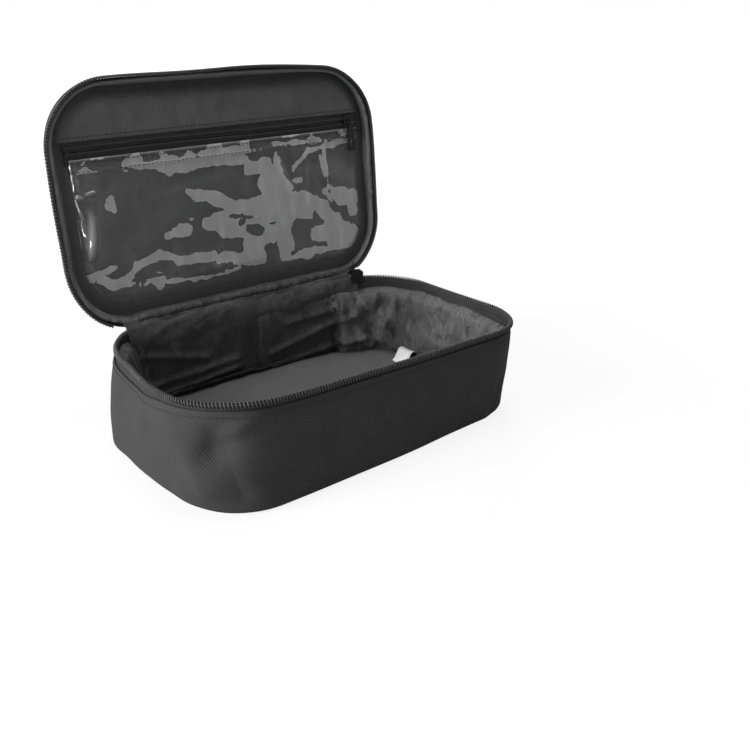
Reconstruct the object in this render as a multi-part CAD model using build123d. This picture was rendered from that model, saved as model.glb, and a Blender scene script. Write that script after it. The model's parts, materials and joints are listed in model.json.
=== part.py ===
from build123d import *
import math
import os

# A soft zip-around toiletry bag, lying on its base with the lid standing open.
# Millimetres, +Z up. The origin is the centre of the base face. The front wall faces -Y.
# The lid hinges along the top of the back wall. It is built shut and then turned open.

# Overall sizes
bag_width = 258.0
bag_depth = 160.0
wall_height = 67.0
lid_height = 18.0
corner_radius = 44.0
lid_open_angle = 97.0

# Cloth layers
cloth = 1.0
wall_foam = 2.5
lining = 0.5
tape = 0.6
base_board_thickness = 1.5
lid_foam_thickness = 4.0
thin_lining = 0.4
film = 0.5
snug = 0.3

# How far a cutting shape runs past what it cuts
over = 5.0

# Body of the bag
spine_wrap = 7.0
wall_cloth_drop = 7.0
tape_width = 14.8
lining_drop = 9.0
base_binding_height = 8.0
base_binding_thickness = 1.0
label_width = 16.0
label_height = 11.0
label_thickness = 0.4
label_back = 46.0
foam_below_tape = 1.0
spine_tape_lap = 4.0
tape_below_piping = 0.2

# Hinge: the cloth folds round a bead along the top of the spine panel
bead_radius = 0.5
flap_gap = 0.3

# Zip chain, measured from the face of the cloth it is sewn behind
chain_gap = 2.4
coil_width = 2.5
coil_proud = 0.6
stop_length = 2.0
chain_margin = 0.3
park_clear = 1.9
slider_pass = 1.15

# Slider and pull, the same pattern on all three zips
slider_length = 10.0
slider_corner = 2.0
plate = 0.8
plate_clear_outer = 0.35
plate_clear_inner = 0.6
side_clear = 0.35
flange = 0.8
flange_reach = 0.5
neck = 1.6
neck_length = 2.6
bar_radius = 0.55
bar_clear = 0.3
knuckle_wall = 0.65
knuckle_length = 3.4
bridge_half = 3.0
pull_length = 22.0
pull_thickness = 1.2
pull_width = 6.0
pull_hole_length = 5.0
pull_hole_width = 2.4
round_hole_from_tip = 4.0
long_hole_from_tip = 6.0
pull_neck = 4.0
pull_shoulder = 7.0
pull_tip = 2.0
park_gap = 1.4
flat_park_gap = 0.6

# Face of the lid, with the outside pocket's zip across it
piping_radius = 1.8
piping_inset = 0.8
piping_drop = 2.0
panel_inset = 2.6
pocket_zip_from_front = 34.0
pocket_window = 15.0
pocket_chain_margin = 23.0
pocket_cavity = 1.8
tape_lap = 2.0

# Inside of the lid, with the clear pocket
binding_thickness = 1.5
inner_cavity = 2.2
inner_zip_from_front = 43.0
inner_window = 12.0
inner_chain_margin = 15.0
film_inset = 15.0
hem_depth = 10.0

# Carry handle on the spine
handle_below_rim = 33.0
webbing_width = 20.0
webbing = 1.6
handle_left_margin = 19.0
handle_right_margin = 34.0
crest_left = -18.0
crest_right = -4.0
handle_rise = 38.0
left_knee = (8.0, 13.0)
right_knee = (7.0, 12.0)
handle_bend = 5.0
handle_tab = 13.0
handle_swing_down = 60.0
handle_swing_up = 30.0

# Sizes that follow from those above
corner_x = bag_width / 2 - corner_radius
corner_y = bag_depth / 2 - corner_radius
hinge_y = bag_depth / 2 - bead_radius
spine_half = corner_x + spine_wrap
chain_start = spine_half + chain_margin
foam_inset = cloth + wall_foam
floor_inset = foam_inset + lining
board_top = cloth + base_board_thickness
floor_top = board_top + lining
wall_cloth_top = wall_height - wall_cloth_drop
chain_low = chain_gap / 2
chain_high = chain_low + coil_width
tape_behind = cloth + tape
lid_tape_top = lid_height - piping_drop - piping_radius - tape_below_piping
plate_outer = coil_proud + plate_clear_outer
plate_inner = -(tape_behind + plate_clear_inner)
slider_half_width = chain_high + side_clear + flange
half_slider = slider_length / 2
spine_angle = math.asin(spine_wrap / corner_radius)
main_park_angle = math.degrees(spine_angle + (half_slider + park_gap) / corner_radius)
slider_end_angle = math.radians(main_park_angle) + half_slider / corner_radius
lid_chain_start = corner_x + (corner_radius + coil_proud) * math.sin(slider_end_angle) + park_clear
lid_chain_clear = slider_half_width + slider_pass
knuckle_radius = bar_radius + bar_clear + knuckle_wall
bar_height = plate_outer + plate + plate_clear_outer + knuckle_radius
handle_axis_y = bag_depth / 2 + webbing / 2
handle_height = wall_height - handle_below_rim
handle_left = handle_left_margin - corner_x
handle_right = corner_x - handle_right_margin
pocket_panel_inner = lid_height - cloth
pocket_lining_high = lid_height - tape_behind - pocket_cavity
lid_foam_high = pocket_lining_high - thin_lining
lid_foam_low = lid_foam_high - lid_foam_thickness
lining_level = lid_foam_low - thin_lining
inner_level = lining_level - inner_cavity - tape_behind
inner_top = inner_level + cloth
strip_inset = binding_thickness + tape_behind
pocket_zip_y = pocket_zip_from_front - bag_depth / 2
inner_zip_y = inner_zip_from_front - bag_depth / 2
pocket_chain_half = bag_width / 2 - pocket_chain_margin
inner_chain_half = bag_width / 2 - inner_chain_margin
park_back = half_slider + flat_park_gap
pocket_park = pocket_chain_half - park_back
inner_park = inner_chain_half - park_back


def outline(inset):
    """Rounded outline of the bag seen from above, moved in by a distance."""
    return RectangleRounded(bag_width - 2 * inset, bag_depth - 2 * inset, corner_radius - inset)


def slab(inset, low, high):
    return Pos(0, 0, low) * extrude(outline(inset), high - low)


def ring(outer, inner, low, high):
    """Upright wall that follows the outline between two insets."""
    return slab(outer, low, high) - slab(inner, low, high)


def block(x_range, y_range, z_range):
    centre = [(a + b) / 2 for a, b in (x_range, y_range, z_range)]
    size = [b - a for a, b in (x_range, y_range, z_range)]
    return Pos(*centre) * Box(*size)


def back_zone(half_width, low, high):
    """The back of the bag between two heights, as wide as the spine or the chain's start."""
    return block((-half_width, half_width), (0, bag_depth), (low, high))


def lid_slab(inset, low, high):
    return slab(inset, wall_height + low, wall_height + high)


def lid_ring(outer, inner, low, high):
    return ring(outer, inner, wall_height + low, wall_height + high)


def lid_block(x_range, y_range, low, high):
    return block(x_range, y_range, (wall_height + low, wall_height + high))


def opened(shape):
    """Turn a piece of the lid from shut to its standing place."""
    hinge = Axis((0, hinge_y, wall_height), (1, 0, 0))
    return shape.rotate(hinge, -lid_open_angle)


def side_wall():
    """Outer cloth of the front and both ends, round to the spine panel."""
    return ring(0, cloth, 0, wall_cloth_top) - back_zone(spine_half, -over, wall_height)


def spine_panel():
    """Outer cloth of the back wall, ending in the fold that the lid turns on."""
    fold_low = wall_height - cloth
    panel = ring(0, cloth, 0, fold_low) & back_zone(spine_half, -over, wall_height)
    fold = Pos(hinge_y, wall_height) * Circle(bead_radius)
    fold += Pos(hinge_y, wall_height - cloth / 2) * Rectangle(2 * bead_radius, cloth)
    return panel + Pos(-corner_x, 0, 0) * extrude(Plane.YZ * fold, 2 * corner_x)


def base_panel():
    return slab(cloth, 0, cloth)


def base_board():
    return slab(foam_inset, cloth, board_top)


def wall_padding():
    return ring(cloth, foam_inset, cloth, wall_height - tape_width - chain_low - foam_below_tape)


def wall_lining():
    """Thin inside cloth, folded out at its top edge to meet the zip tape."""
    top = wall_height - lining_drop
    sheet = ring(foam_inset, floor_inset, floor_top, top)
    return sheet + ring(tape_behind, floor_inset, top - lining, top)


def base_lining():
    return slab(foam_inset, board_top, floor_top)


def base_binding():
    """Bias tape over the seam between the wall lining and the base lining."""
    inner = floor_inset + base_binding_thickness
    return ring(floor_inset, inner, floor_top, floor_top + base_binding_height)


def care_label():
    """Blank cloth label sewn into the base seam on the right."""
    start = floor_inset + base_binding_thickness
    band = ring(start, start + label_thickness, floor_top, floor_top + label_height)
    reach = block((0, bag_width), (label_back - label_width, label_back), (0, wall_height))
    return band & reach


def chain_side(low, high):
    """One side of the main chain: its tape and its coil, between two heights."""
    tape_ring = ring(cloth, tape_behind, low[0], high[0])
    coil_ring = ring(-coil_proud, cloth, low[1], high[1])
    return tape_ring, coil_ring


def body_zip():
    """Tape, coil and end stops along the top of the body."""
    top = wall_height - chain_low
    bottom = wall_height - chain_high
    tape_ring, coil_ring = chain_side((top - tape_width, bottom), (top, top))
    under_spine = back_zone(spine_half - spine_tape_lap, 0, wall_height)
    started = back_zone(chain_start, 0, wall_height)
    stopped = back_zone(chain_start + stop_length, 0, wall_height)
    return tape_ring - under_spine, coil_ring - stopped, (coil_ring - started) & stopped


def lid_zip():
    """Tape and coil along the lid's edge, cut back where the slider is parked."""
    low = wall_height + chain_low
    tape_ring, coil_ring = chain_side((low, low), (wall_height + lid_tape_top, low + coil_width))
    hidden = back_zone(spine_half - spine_tape_lap, 0, 2 * wall_height)
    parked = back_zone(lid_chain_start, 0, wall_height + lid_chain_clear)
    return tape_ring - hidden - parked, coil_ring - parked


def spine_flap():
    """The spine cloth above the fold, sewn to the back of the lid."""
    low = bead_radius + flap_gap
    return lid_ring(0, cloth, low, lid_tape_top) & back_zone(spine_half, 0, 2 * wall_height)


def lid_piping():
    """Round cord edge between the lid's face and its side."""
    loop = outline(piping_inset).wire()
    height = wall_height + lid_height - piping_drop
    loop = Pos(0, 0, height) * loop
    start = loop.edges()[0]
    section = Plane(origin=start @ 0.5, z_dir=start % 0.5) * Circle(piping_radius)
    return sweep(section, path=loop)


def lid_face():
    """Upper panel, lower panel and the end tabs beside the outside pocket's zip."""
    face = lid_slab(panel_inset, pocket_panel_inner, lid_height)
    low = pocket_zip_y - pocket_window / 2
    high = pocket_zip_y + pocket_window / 2
    everywhere = (-bag_width, bag_width)
    level = (pocket_panel_inner - over, lid_height + over)
    lower = face & lid_block(everywhere, (-bag_depth, low), *level)
    upper = face & lid_block(everywhere, (high, bag_depth), *level)
    inside = pocket_chain_half + stop_length
    band = face & lid_block(everywhere, (low, high), *level)
    tabs = band - lid_block((-inside, inside), (low, high), *level)
    return upper, lower, tabs


def pocket_lining():
    return lid_slab(panel_inset + 1, lid_foam_high, pocket_lining_high)


def lid_foam():
    return lid_slab(tape_behind, lid_foam_low, lid_foam_high)


def lid_lining():
    return lid_slab(tape_behind, lining_level, lid_foam_low)


def lid_binding():
    """Bias tape round the inside of the lid, over the seam of lining and tape."""
    inner = tape_behind + binding_thickness
    return lid_ring(tape_behind, inner, lid_chain_clear, lining_level)


def inner_strip():
    """Lining cloth above the inner zip and past its ends, its outer edge turned up to the lining."""
    strip = lid_slab(strip_inset, inner_top - film, inner_top)
    strip += lid_ring(strip_inset, strip_inset + film, inner_top - film, lining_level)
    low = inner_zip_y + inner_window / 2
    strip = strip - lid_block((-bag_width, bag_width), (low, bag_depth), 0, lid_height)
    inside = inner_chain_half + stop_length
    window = lid_block((-inside, inside), (inner_zip_y - inner_window / 2, low + over), 0, lid_height)
    return strip - window


def window_film():
    """Clear pocket front, with a narrow wall down to the lining on its three sewn sides."""
    top = inner_zip_y + inner_window / 2
    sheet = lid_slab(film_inset, inner_top - film, inner_top)
    wall = lid_ring(film_inset, film_inset + film, inner_top, lining_level)
    beside_zip = lid_block((-bag_width, bag_width), (-bag_depth, top), 0, lid_height)
    under_tape = lid_block((-bag_width, bag_width), (-bag_depth, top + tape_lap + snug), 0, lid_height)
    return (sheet - beside_zip) + (wall - under_tape)


def film_hem():
    """Folded hem along the film's top edge, where the zip is sewn on."""
    top = inner_zip_y + inner_window / 2
    band = lid_slab(film_inset, inner_top - 2 * film, inner_top - film)
    return band & lid_block((-bag_width, bag_width), (top, top + hem_depth), 0, lid_height)


def flat_chain(half_length, window, face, outward):
    """Tapes, coils and end stops of a zip that runs along X behind a flat cloth.

    The face is the cloth's outer height above the parting plane, outward is +1 or -1."""
    def levels(near, far):
        ends = (face + outward * near, face + outward * far)
        return min(ends), max(ends)

    outer = window / 2 + tape_lap
    tapes, coils, stops = [], [], []
    for side in (-1, 1):
        tape_span = sorted((side * chain_low, side * outer))
        coil_span = sorted((side * chain_low, side * chain_high))
        tape_end = half_length + stop_length + tape_lap
        tapes.append(lid_block((-tape_end, tape_end), tape_span, *levels(-tape_behind, -cloth)))
        coils.append(lid_block((-half_length, half_length), coil_span, *levels(-cloth, coil_proud)))
        stops.append(lid_block(sorted((side * half_length, side * (half_length + stop_length))),
                               (-chain_high, chain_high), *levels(-cloth, -film)))
    return tapes, coils, stops


def slider_body():
    """Zip slider with local X along the chain, mouth first, and local Z out of the cloth."""
    width = 2 * slider_half_width
    footprint = RectangleRounded(slider_length, width, slider_corner)
    outer = Pos(0, 0, plate_outer) * extrude(footprint, plate)
    inner = Pos(0, 0, plate_inner - plate) * extrude(footprint, plate)
    body = outer + inner
    for side in (-1, 1):
        span = sorted((side * (slider_half_width - flange), side * slider_half_width))
        rail = half_slider - slider_corner
        body += block((-rail, rail), span, (-flange_reach, plate_outer))
    neck_run = (half_slider - neck_length, half_slider)
    body += block(neck_run, (-neck / 2, neck / 2), (plate_inner, plate_outer))
    post_height = bar_height - plate_outer - plate
    for side in (-1, 1):
        post = Cylinder(bar_radius, post_height)
        body += Pos(side * bridge_half, 0, bar_height - post_height / 2) * post
        body += Pos(side * bridge_half, 0, bar_height) * Sphere(bar_radius)
    return body + Pos(0, 0, bar_height) * Rot(0, 90, 0) * Cylinder(bar_radius, 2 * bridge_half)


def pull_tab(round_hole):
    """Pull that swings on the slider's bar, lying along local +Y at zero."""
    knuckle = Pos(0, 0, bar_height) * Rot(0, 90, 0) * Cylinder(knuckle_radius, knuckle_length)
    half, wide = knuckle_length / 2, pull_width / 2
    right_edge = [(half, 0), (half, pull_neck), (wide, pull_shoulder), (wide, pull_length - pull_tip),
                  (half, pull_length)]
    left_edge = [(-x, y) for x, y in reversed(right_edge)]
    profile = Polygon(*right_edge, *left_edge, align=None)
    low = bar_height - knuckle_radius
    tab = Pos(0, 0, low) * extrude(profile, pull_thickness)
    if round_hole:
        hole = Pos(0, pull_length - round_hole_from_tip) * Circle(pull_hole_width / 2)
    else:
        slot = SlotOverall(pull_hole_length, pull_hole_width, rotation=90)
        hole = Pos(0, pull_length - long_hole_from_tip) * slot
    tab -= Pos(0, 0, low - over) * extrude(hole, pull_thickness + 2 * over)
    bore = Pos(0, 0, bar_height) * Rot(0, 90, 0) * Cylinder(bar_radius + bar_clear, 2 * knuckle_length)
    return knuckle + tab - bore


def main_zip_slider():
    """Slider parked at the right end of the chain, and its pull hanging down."""
    angle = math.radians(main_park_angle)
    along = (math.cos(angle), -math.sin(angle), 0)
    outward = (math.sin(angle), math.cos(angle), 0)
    place = Plane(origin=(corner_x + corner_radius * outward[0], corner_y + corner_radius * outward[1],
                          wall_height), x_dir=along, z_dir=outward)
    return place * slider_body(), place * pull_tab(False)


def flat_zip_slider(x, y, face, outward, mouth, plumb, round_hole):
    """Slider and pull on a zip of the lid. The pull hangs towards the hinge when the lid stands."""
    at = (x, y, wall_height + face)
    running = Plane(origin=at, x_dir=(mouth, 0, 0), z_dir=(0, 0, outward))
    hanging = Plane(origin=at, x_dir=(outward, 0, 0), z_dir=(0, 0, outward))
    tab = pull_tab(round_hole).rotate(Axis((0, 0, bar_height), (1, 0, 0)), plumb)
    return running * slider_body(), hanging * tab


def handle_strap():
    """Webbing arch that stands out from the spine, its roots pinched to round beads that it swings on."""
    wall = bag_depth / 2
    left = (handle_left + left_knee[0], wall + left_knee[1])
    right = (handle_right - right_knee[0], wall + right_knee[1])
    crest = wall + handle_rise
    path = FilletPolyline((handle_left, handle_axis_y), left, (crest_left, crest), (crest_right, crest),
                          right, (handle_right, handle_axis_y), radius=handle_bend)
    start = path.edges()[0]
    section = Plane(origin=start @ 0, z_dir=start % 0) * Rectangle(webbing, webbing_width)
    strap = Pos(0, 0, handle_height) * sweep(section, path=path, transition=Transition.RIGHT)
    edge = webbing_width / 2 + over
    spare = webbing / 2 - snug
    for sign, swing in ((1, handle_swing_up), (-1, handle_swing_down)):
        turn = math.radians(swing)
        near = handle_axis_y - spare / math.cos(turn)
        far = handle_axis_y + (edge * math.sin(turn) - spare) / math.cos(turn)
        end = handle_height + sign * edge
        wedge = Polygon((wall - over, handle_height), (near, handle_height), (far, end), (wall - over, end),
                        align=None)
        strap -= extrude(Plane.YZ * wedge, bag_width, both=True)
    for x in (handle_left, handle_right):
        strap += Pos(x, handle_axis_y, handle_height) * Rot(0, 90, 0) * Cylinder(spare, webbing)
    return strap


def handle_tabs():
    """The webbing's two ends, folded and sewn flat to the spine panel."""
    wall = bag_depth / 2
    height = (handle_height - webbing_width / 2, handle_height + webbing_width / 2)
    gap = webbing / 2 + snug
    left = block((handle_left - handle_tab, handle_left - gap), (wall, wall + webbing), height)
    right = block((handle_right + gap, handle_right + handle_tab), (wall, wall + webbing), height)
    return [left, right]


os.makedirs("parts", exist_ok=True)

body_zip_tape, body_zip_coil, body_zip_stops = body_zip()
lid_zip_tape, lid_zip_coil = lid_zip()
lid_upper_panel, lid_lower_panel, pocket_end_tabs = lid_face()
pocket_tapes, pocket_coils, pocket_stops = flat_chain(pocket_chain_half, pocket_window, lid_height, 1)
inner_tapes, inner_coils, inner_stops = flat_chain(inner_chain_half, inner_window, inner_level, -1)
main_slider, main_pull = main_zip_slider()
pocket_slider, pocket_pull = flat_zip_slider(-pocket_park, pocket_zip_y, lid_height, 1, -1,
                                             lid_open_angle - 90, True)
inner_slider, inner_pull = flat_zip_slider(inner_park, inner_zip_y, inner_level, -1, 1, 0, False)

body_nodes = {
    "side_wall": side_wall(),
    "spine_panel": spine_panel(),
    "base_panel": base_panel(),
    "base_board": base_board(),
    "wall_padding": wall_padding(),
    "wall_lining": wall_lining(),
    "base_lining": base_lining(),
    "base_binding": base_binding(),
    "care_label": care_label(),
    "body_zip_tape": body_zip_tape,
    "body_zip_coil": body_zip_coil,
    "body_zip_stops": body_zip_stops,
    "handle_tabs": Compound(children=handle_tabs()),
    "handle_strap": handle_strap(),
    "main_slider": main_slider,
    "main_pull": main_pull,
}
lid_nodes = {
    "spine_flap": spine_flap(),
    "lid_zip_tape": lid_zip_tape,
    "lid_zip_coil": lid_zip_coil,
    "lid_piping": lid_piping(),
    "lid_upper_panel": lid_upper_panel,
    "lid_lower_panel": lid_lower_panel,
    "pocket_end_tabs": pocket_end_tabs,
    "pocket_lining": pocket_lining(),
    "lid_foam": lid_foam(),
    "lid_lining": lid_lining(),
    "lid_binding": lid_binding(),
    "inner_strip": inner_strip(),
    "window_film": window_film(),
    "film_hem": film_hem(),
    "pocket_slider": pocket_slider,
    "pocket_pull": pocket_pull,
    "inner_slider": inner_slider,
    "inner_pull": inner_pull,
}
flat_chains = {"pocket_zip": (pocket_zip_y, pocket_tapes, pocket_coils, pocket_stops),
               "inner_zip": (inner_zip_y, inner_tapes, inner_coils, inner_stops)}
for name, (y, tapes, coils, stops) in flat_chains.items():
    for suffix, solids in (("tape", tapes), ("coil", coils), ("stops", stops)):
        lid_nodes[f"{name}_{suffix}"] = Pos(0, y, 0) * Compound(children=solids)

for name, shape in body_nodes.items():
    export_step(shape, f"parts/{name}.step")
for name, shape in lid_nodes.items():
    export_step(opened(shape), f"parts/{name}.step")
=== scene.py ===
import json
import math

import bpy
import numpy as np
from bpy.props import FloatProperty, FloatVectorProperty, PointerProperty
from bpy.types import Operator, Panel, PropertyGroup
from mathutils import Matrix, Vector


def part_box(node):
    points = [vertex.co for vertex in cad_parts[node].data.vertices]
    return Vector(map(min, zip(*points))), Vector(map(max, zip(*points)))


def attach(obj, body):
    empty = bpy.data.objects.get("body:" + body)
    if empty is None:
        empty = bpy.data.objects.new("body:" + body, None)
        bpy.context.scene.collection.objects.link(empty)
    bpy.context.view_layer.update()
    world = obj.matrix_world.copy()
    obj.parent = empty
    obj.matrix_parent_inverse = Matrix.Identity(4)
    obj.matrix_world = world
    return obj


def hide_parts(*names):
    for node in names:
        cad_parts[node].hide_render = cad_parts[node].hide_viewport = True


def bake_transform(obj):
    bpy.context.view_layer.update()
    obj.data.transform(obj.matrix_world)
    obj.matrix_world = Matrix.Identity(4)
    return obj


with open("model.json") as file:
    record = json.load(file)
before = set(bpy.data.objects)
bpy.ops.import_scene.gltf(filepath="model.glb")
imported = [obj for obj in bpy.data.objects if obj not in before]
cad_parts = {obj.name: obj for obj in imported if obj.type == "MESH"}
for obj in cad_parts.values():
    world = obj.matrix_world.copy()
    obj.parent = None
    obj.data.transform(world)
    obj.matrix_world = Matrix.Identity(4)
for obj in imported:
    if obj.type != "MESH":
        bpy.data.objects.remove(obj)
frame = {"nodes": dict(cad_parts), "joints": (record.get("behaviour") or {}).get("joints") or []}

bl_info = {
    "name": "Toiletry bag",
    "version": (1, 0, 0),
    "blender": (4, 5, 0),
    "location": "3D View > Sidebar > Bag",
    "description": "Builds a soft zip-around toiletry bag round its packed frame",
    "category": "Object",
}

# What a new Blender file starts with
for stray in [bpy.data.objects.get(name) for name in ("Cube", "Light", "Camera")]:
    if stray is not None:
        bpy.data.objects.remove(stray)
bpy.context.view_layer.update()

MM = 0.001
TAU = 2 * math.pi

# Sizes of the bag, from the frame
JOINTS = {joint["name"]: joint for joint in frame["joints"]}
HINGE_Y, RIM = JOINTS["lid_hinge"]["pos_m"][1:]
OPEN_ANGLE = math.radians(JOINTS["lid_hinge"]["range_deg"][1])
HANDLE_Z = JOINTS["handle_swing"]["pos_m"][2]
HALF_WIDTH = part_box("side_wall")[1][0]
HALF_DEPTH = -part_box("side_wall")[0][1]
SPINE_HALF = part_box("spine_panel")[1][0]
WALL_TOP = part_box("side_wall")[1][2]
TAPE_LOW, TAPE_TOP = (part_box("body_zip_tape")[k][2] for k in (0, 1))
LINING_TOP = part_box("wall_lining")[1][2]
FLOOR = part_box("base_lining")[1][2]

# The outline's corner, its straight stretches, and the way round from mid front to mid back
CORNER = 44 * MM
FRONT_RUN = HALF_WIDTH - CORNER
SIDE_RUN = HALF_DEPTH - CORNER
ARC_RUN = CORNER * math.pi / 2
HALF_ROUND = 2 * (FRONT_RUN + ARC_RUN + SIDE_RUN)
ALL_ROUND = (-HALF_ROUND, HALF_ROUND)
SPINE_RUN = HALF_ROUND - SPINE_HALF
FOOT_ROLL = 3 * MM

# Levels in the lid, above the parting plane of the shut bag
COIL_MIDDLE = 2.45 * MM
LID_TAPE_TOP = 14 * MM
PIPING_LEVEL = 16 * MM
PIPING_RADIUS = 1.8 * MM
FACE_LEVEL = 18 * MM
LINING_LEVEL = 9.8 * MM
PAD_INSET = 4 * MM
FILM_LEVEL = 6.5 * MM

# Zips that run across the lid
POCKET_ZIP_Y = -46 * MM
INNER_ZIP_Y = -37 * MM
FILM_TOP_Y = -31 * MM
POCKET_HALF = 106 * MM
INNER_HALF = 114 * MM

# Cloth that crosses the hinge: its two bodies, and where the bend starts and ends
HINGE_BEND = ("body", "lid", (0, 79.5 * MM, RIM - 1.5 * MM), (0, 83.5 * MM, RIM + 0.5 * MM))


def length_property(name, description, default):
    return FloatProperty(name=name, description=description, default=default, unit="LENGTH")


def colour_property(name, description, default):
    return FloatVectorProperty(name=name, description=description, default=default, size=3, min=0, max=1,
                               subtype="COLOR")


class Sizes(PropertyGroup):
    lean: FloatProperty(name="Lean", description="Share of the measured lean that is built", default=1.0)
    rim_rise: length_property("Rim rise", "How far the zip line rises at the front left corner", 3 * MM)
    dent: length_property("Dent", "Depth of the dent below the front left corner", 5 * MM)
    crumple: FloatProperty(name="Crumple", description="Slope of the folds in the wall lining", default=0.3)
    tooth_pitch: length_property("Tooth pitch", "Distance between two turns of a zip coil", 2.1 * MM)
    wire: length_property("Coil wire", "Radius of the coil's filament", 0.54 * MM)
    stitch_pitch: length_property("Stitch pitch", "Distance between two stitches", 3.2 * MM)
    dome: length_property("Dome", "How far a padded face may swell", 2.5 * MM)
    weave: length_property("Weave", "Distance between two diagonals of the outer cloth", 1.25 * MM)


class Colours(PropertyGroup):
    outer: colour_property("Outer cloth", "Woven outer cloth", (0.05, 0.05, 0.051))
    lining: colour_property("Lining", "Thin inside cloth", (0.138, 0.138, 0.139))
    tape: colour_property("Zip tape", "Woven tape of the zips", (0.046, 0.046, 0.047))
    coil: colour_property("Zip coil", "Moulded coil of the zips", (0.062, 0.062, 0.063))
    trim: colour_property("Trim", "Bias tape and piping", (0.1, 0.1, 0.101))
    # Painted light: the lid's bias tape is twice as light as the same kind of tape in the trim
    binding: colour_property("Binding", "Bias tape round the lid's inside", (0.2, 0.2, 0.202))
    film: colour_property("Film", "Clear sheet where it clings to the cloth", (0.23, 0.23, 0.232))
    # Colour of the pale patches that are painted on the film as reflections of lamps
    painted_reflection: colour_property("Haze", "Clear sheet where it shows pale", (0.7, 0.7, 0.707))
    enamel: colour_property("Enamel", "Black finish of sliders and pulls", (0.02, 0.02, 0.021))
    webbing: colour_property("Webbing", "Ribbed strap", (0.075, 0.075, 0.077))
    label: colour_property("Label", "Blank satin label", (0.95, 0.95, 0.959))
    thread: colour_property("Thread", "Sewing thread", (0.02, 0.02, 0.021))


def smooth(value, low, high):
    """Smoothstep: 0 below low, 1 above high, an S curve between."""
    share = np.clip((value - low) / (high - low), 0, 1)
    return share * share * (3 - 2 * share)


def quarter_circle(share):
    """Height of a quarter circle of radius 1 at a share of the way in from its edge, and 1 past it."""
    return np.sqrt(np.clip(1 - (1 - np.clip(share, 0, 1)) ** 2, 0, 1))


def hill(value, centre, width):
    """Bell curve of height 1."""
    return np.exp(-((value - centre) / width) ** 2)


def waves(points, seed, length, count=7):
    """Sum of sine waves that run in random directions, all about one length, from about -1 to 1."""
    random = np.random.default_rng(seed)
    total = 0
    for _ in range(count):
        direction = random.normal(size=3)
        direction *= TAU / (length * random.uniform(0.7, 1.5) * np.linalg.norm(direction))
        total = total + np.sin(points @ direction + random.uniform(0, TAU))
    return total / count ** 0.5 / 1.3


def folds(points, seed, length):
    """Crumpled cloth: one minus the size of a wave, at three lengths, so that the tops are sharp creases."""
    total = 0
    for step in range(3):
        total = total + (1 - np.abs(waves(points, seed + step, length / 1.8 ** step))) / 1.7 ** step
    return total / 2


def facets(points, seed, spacing, count):
    """Crumpled cloth: distance to the nearest of some random centres, each with its own start, so that sharp
    straight ridges run between flat-sided hollows. The centres are picked from the points themselves."""
    random = np.random.default_rng(seed)
    flat = points.reshape(-1, 3)
    centres = flat[random.integers(0, len(flat), count)]
    nearest = np.full(len(flat), np.inf)
    for centre in centres:
        away = np.linalg.norm((flat - centre) * [1, 1, 1.3], axis=1) + random.uniform(0, 0.5) * spacing
        nearest = np.minimum(nearest, away)
    return np.minimum(nearest, spacing).reshape(points.shape[:-1])


def trace(run, knots):
    """Cubic curve through knots of run and distance in millimetres, with its neighbours' slope at each."""
    run = (run + HALF_ROUND) % (2 * HALF_ROUND) - HALF_ROUND
    at, level = np.array(knots, float).T * MM
    slope = np.gradient(level, at)
    k = np.clip(np.searchsorted(at, run) - 1, 0, len(at) - 2)
    step = at[k + 1] - at[k]
    t = np.clip((run - at[k]) / step, 0, 1)
    bent = t * (1 - t) * step * (slope[k] * (1 - t) - slope[k + 1] * t)
    return level[k] + (level[k + 1] - level[k]) * t * t * (3 - 2 * t) + bent


def away_from(x, y, start, end):
    """Distance to the segment between two places that are given in millimetres. The perpendicular's foot is
    the dot product with the segment over its squared length, kept from 0 to 1."""
    start = np.array(start) * MM
    along = np.array(end) * MM - start
    share = np.clip(((x - start[0]) * along[0] + (y - start[1]) * along[1]) / (along @ along), 0, 1)
    return np.hypot(x - start[0] - share * along[0], y - start[1] - share * along[1])


def crease(x, y, start, end, width):
    """Bell curve of the distance to the segment, its width in millimetres too."""
    return np.exp(-(away_from(x, y, start, end) / (width * MM)) ** 2)


def joined(*parts):
    """Arrays and numbers side by side along a new last axis."""
    return np.stack(np.broadcast_arrays(*parts), -1)


def steps(*stretches):
    """Rising values from stretches of (start, end, count) that share their ends."""
    return np.unique(np.concatenate([np.linspace(*stretch) for stretch in stretches]))


def outline(run, inset=0.0):
    """Point and outward normal of the rounded outline.

    The run is the distance round from the middle of the front, positive to the left. Two quarter turns are
    shared out over the corners, and the point is the corner's centre plus the normal times the radius."""
    run = (np.asarray(run, float) + HALF_ROUND) % (2 * HALF_ROUND) - HALF_ROUND
    side, run = np.where(run < 0, -1.0, 1.0), np.abs(run)
    first, second = FRONT_RUN, FRONT_RUN + ARC_RUN + 2 * SIDE_RUN
    turn = sum(np.clip((run - start) / ARC_RUN, 0, 1) for start in (first, second)) * math.pi / 2
    centre_x = np.clip(run - second - ARC_RUN, 0, FRONT_RUN) - np.clip(run, 0, FRONT_RUN)
    centre_y = np.clip(run - first - ARC_RUN, 0, 2 * SIDE_RUN) - SIDE_RUN
    normal = joined(-np.sin(turn) * side, -np.cos(turn))
    centre = joined(centre_x * side, centre_y)
    return centre + normal * (CORNER - np.asarray(inset))[..., None], normal


def ring(run, inset, height):
    """Points round the outline, moved in by the inset, at a height."""
    run, inset, height = np.broadcast_arrays(run, inset, height)
    place, _ = outline(run, inset)
    return np.concatenate([place, height[..., None]], -1)


def half_width(y, inset):
    """Half the outline's width at a depth y, once moved in: the straight part and the corner's circle."""
    over = np.clip(np.abs(y) - SIDE_RUN, 0, None)
    return FRONT_RUN + np.sqrt(np.clip((CORNER - inset) ** 2 - over ** 2, 0, None))


def opened(points):
    """Turns points of the shut lid about the hinge to where it stands open."""
    y, z = points[..., 1] - HINGE_Y, points[..., 2]
    cos, sin = math.cos(OPEN_ANGLE), math.sin(OPEN_ANGLE)
    return joined(points[..., 0], y * cos + z * sin + HINGE_Y, -y * sin + z * cos + RIM)


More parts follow.
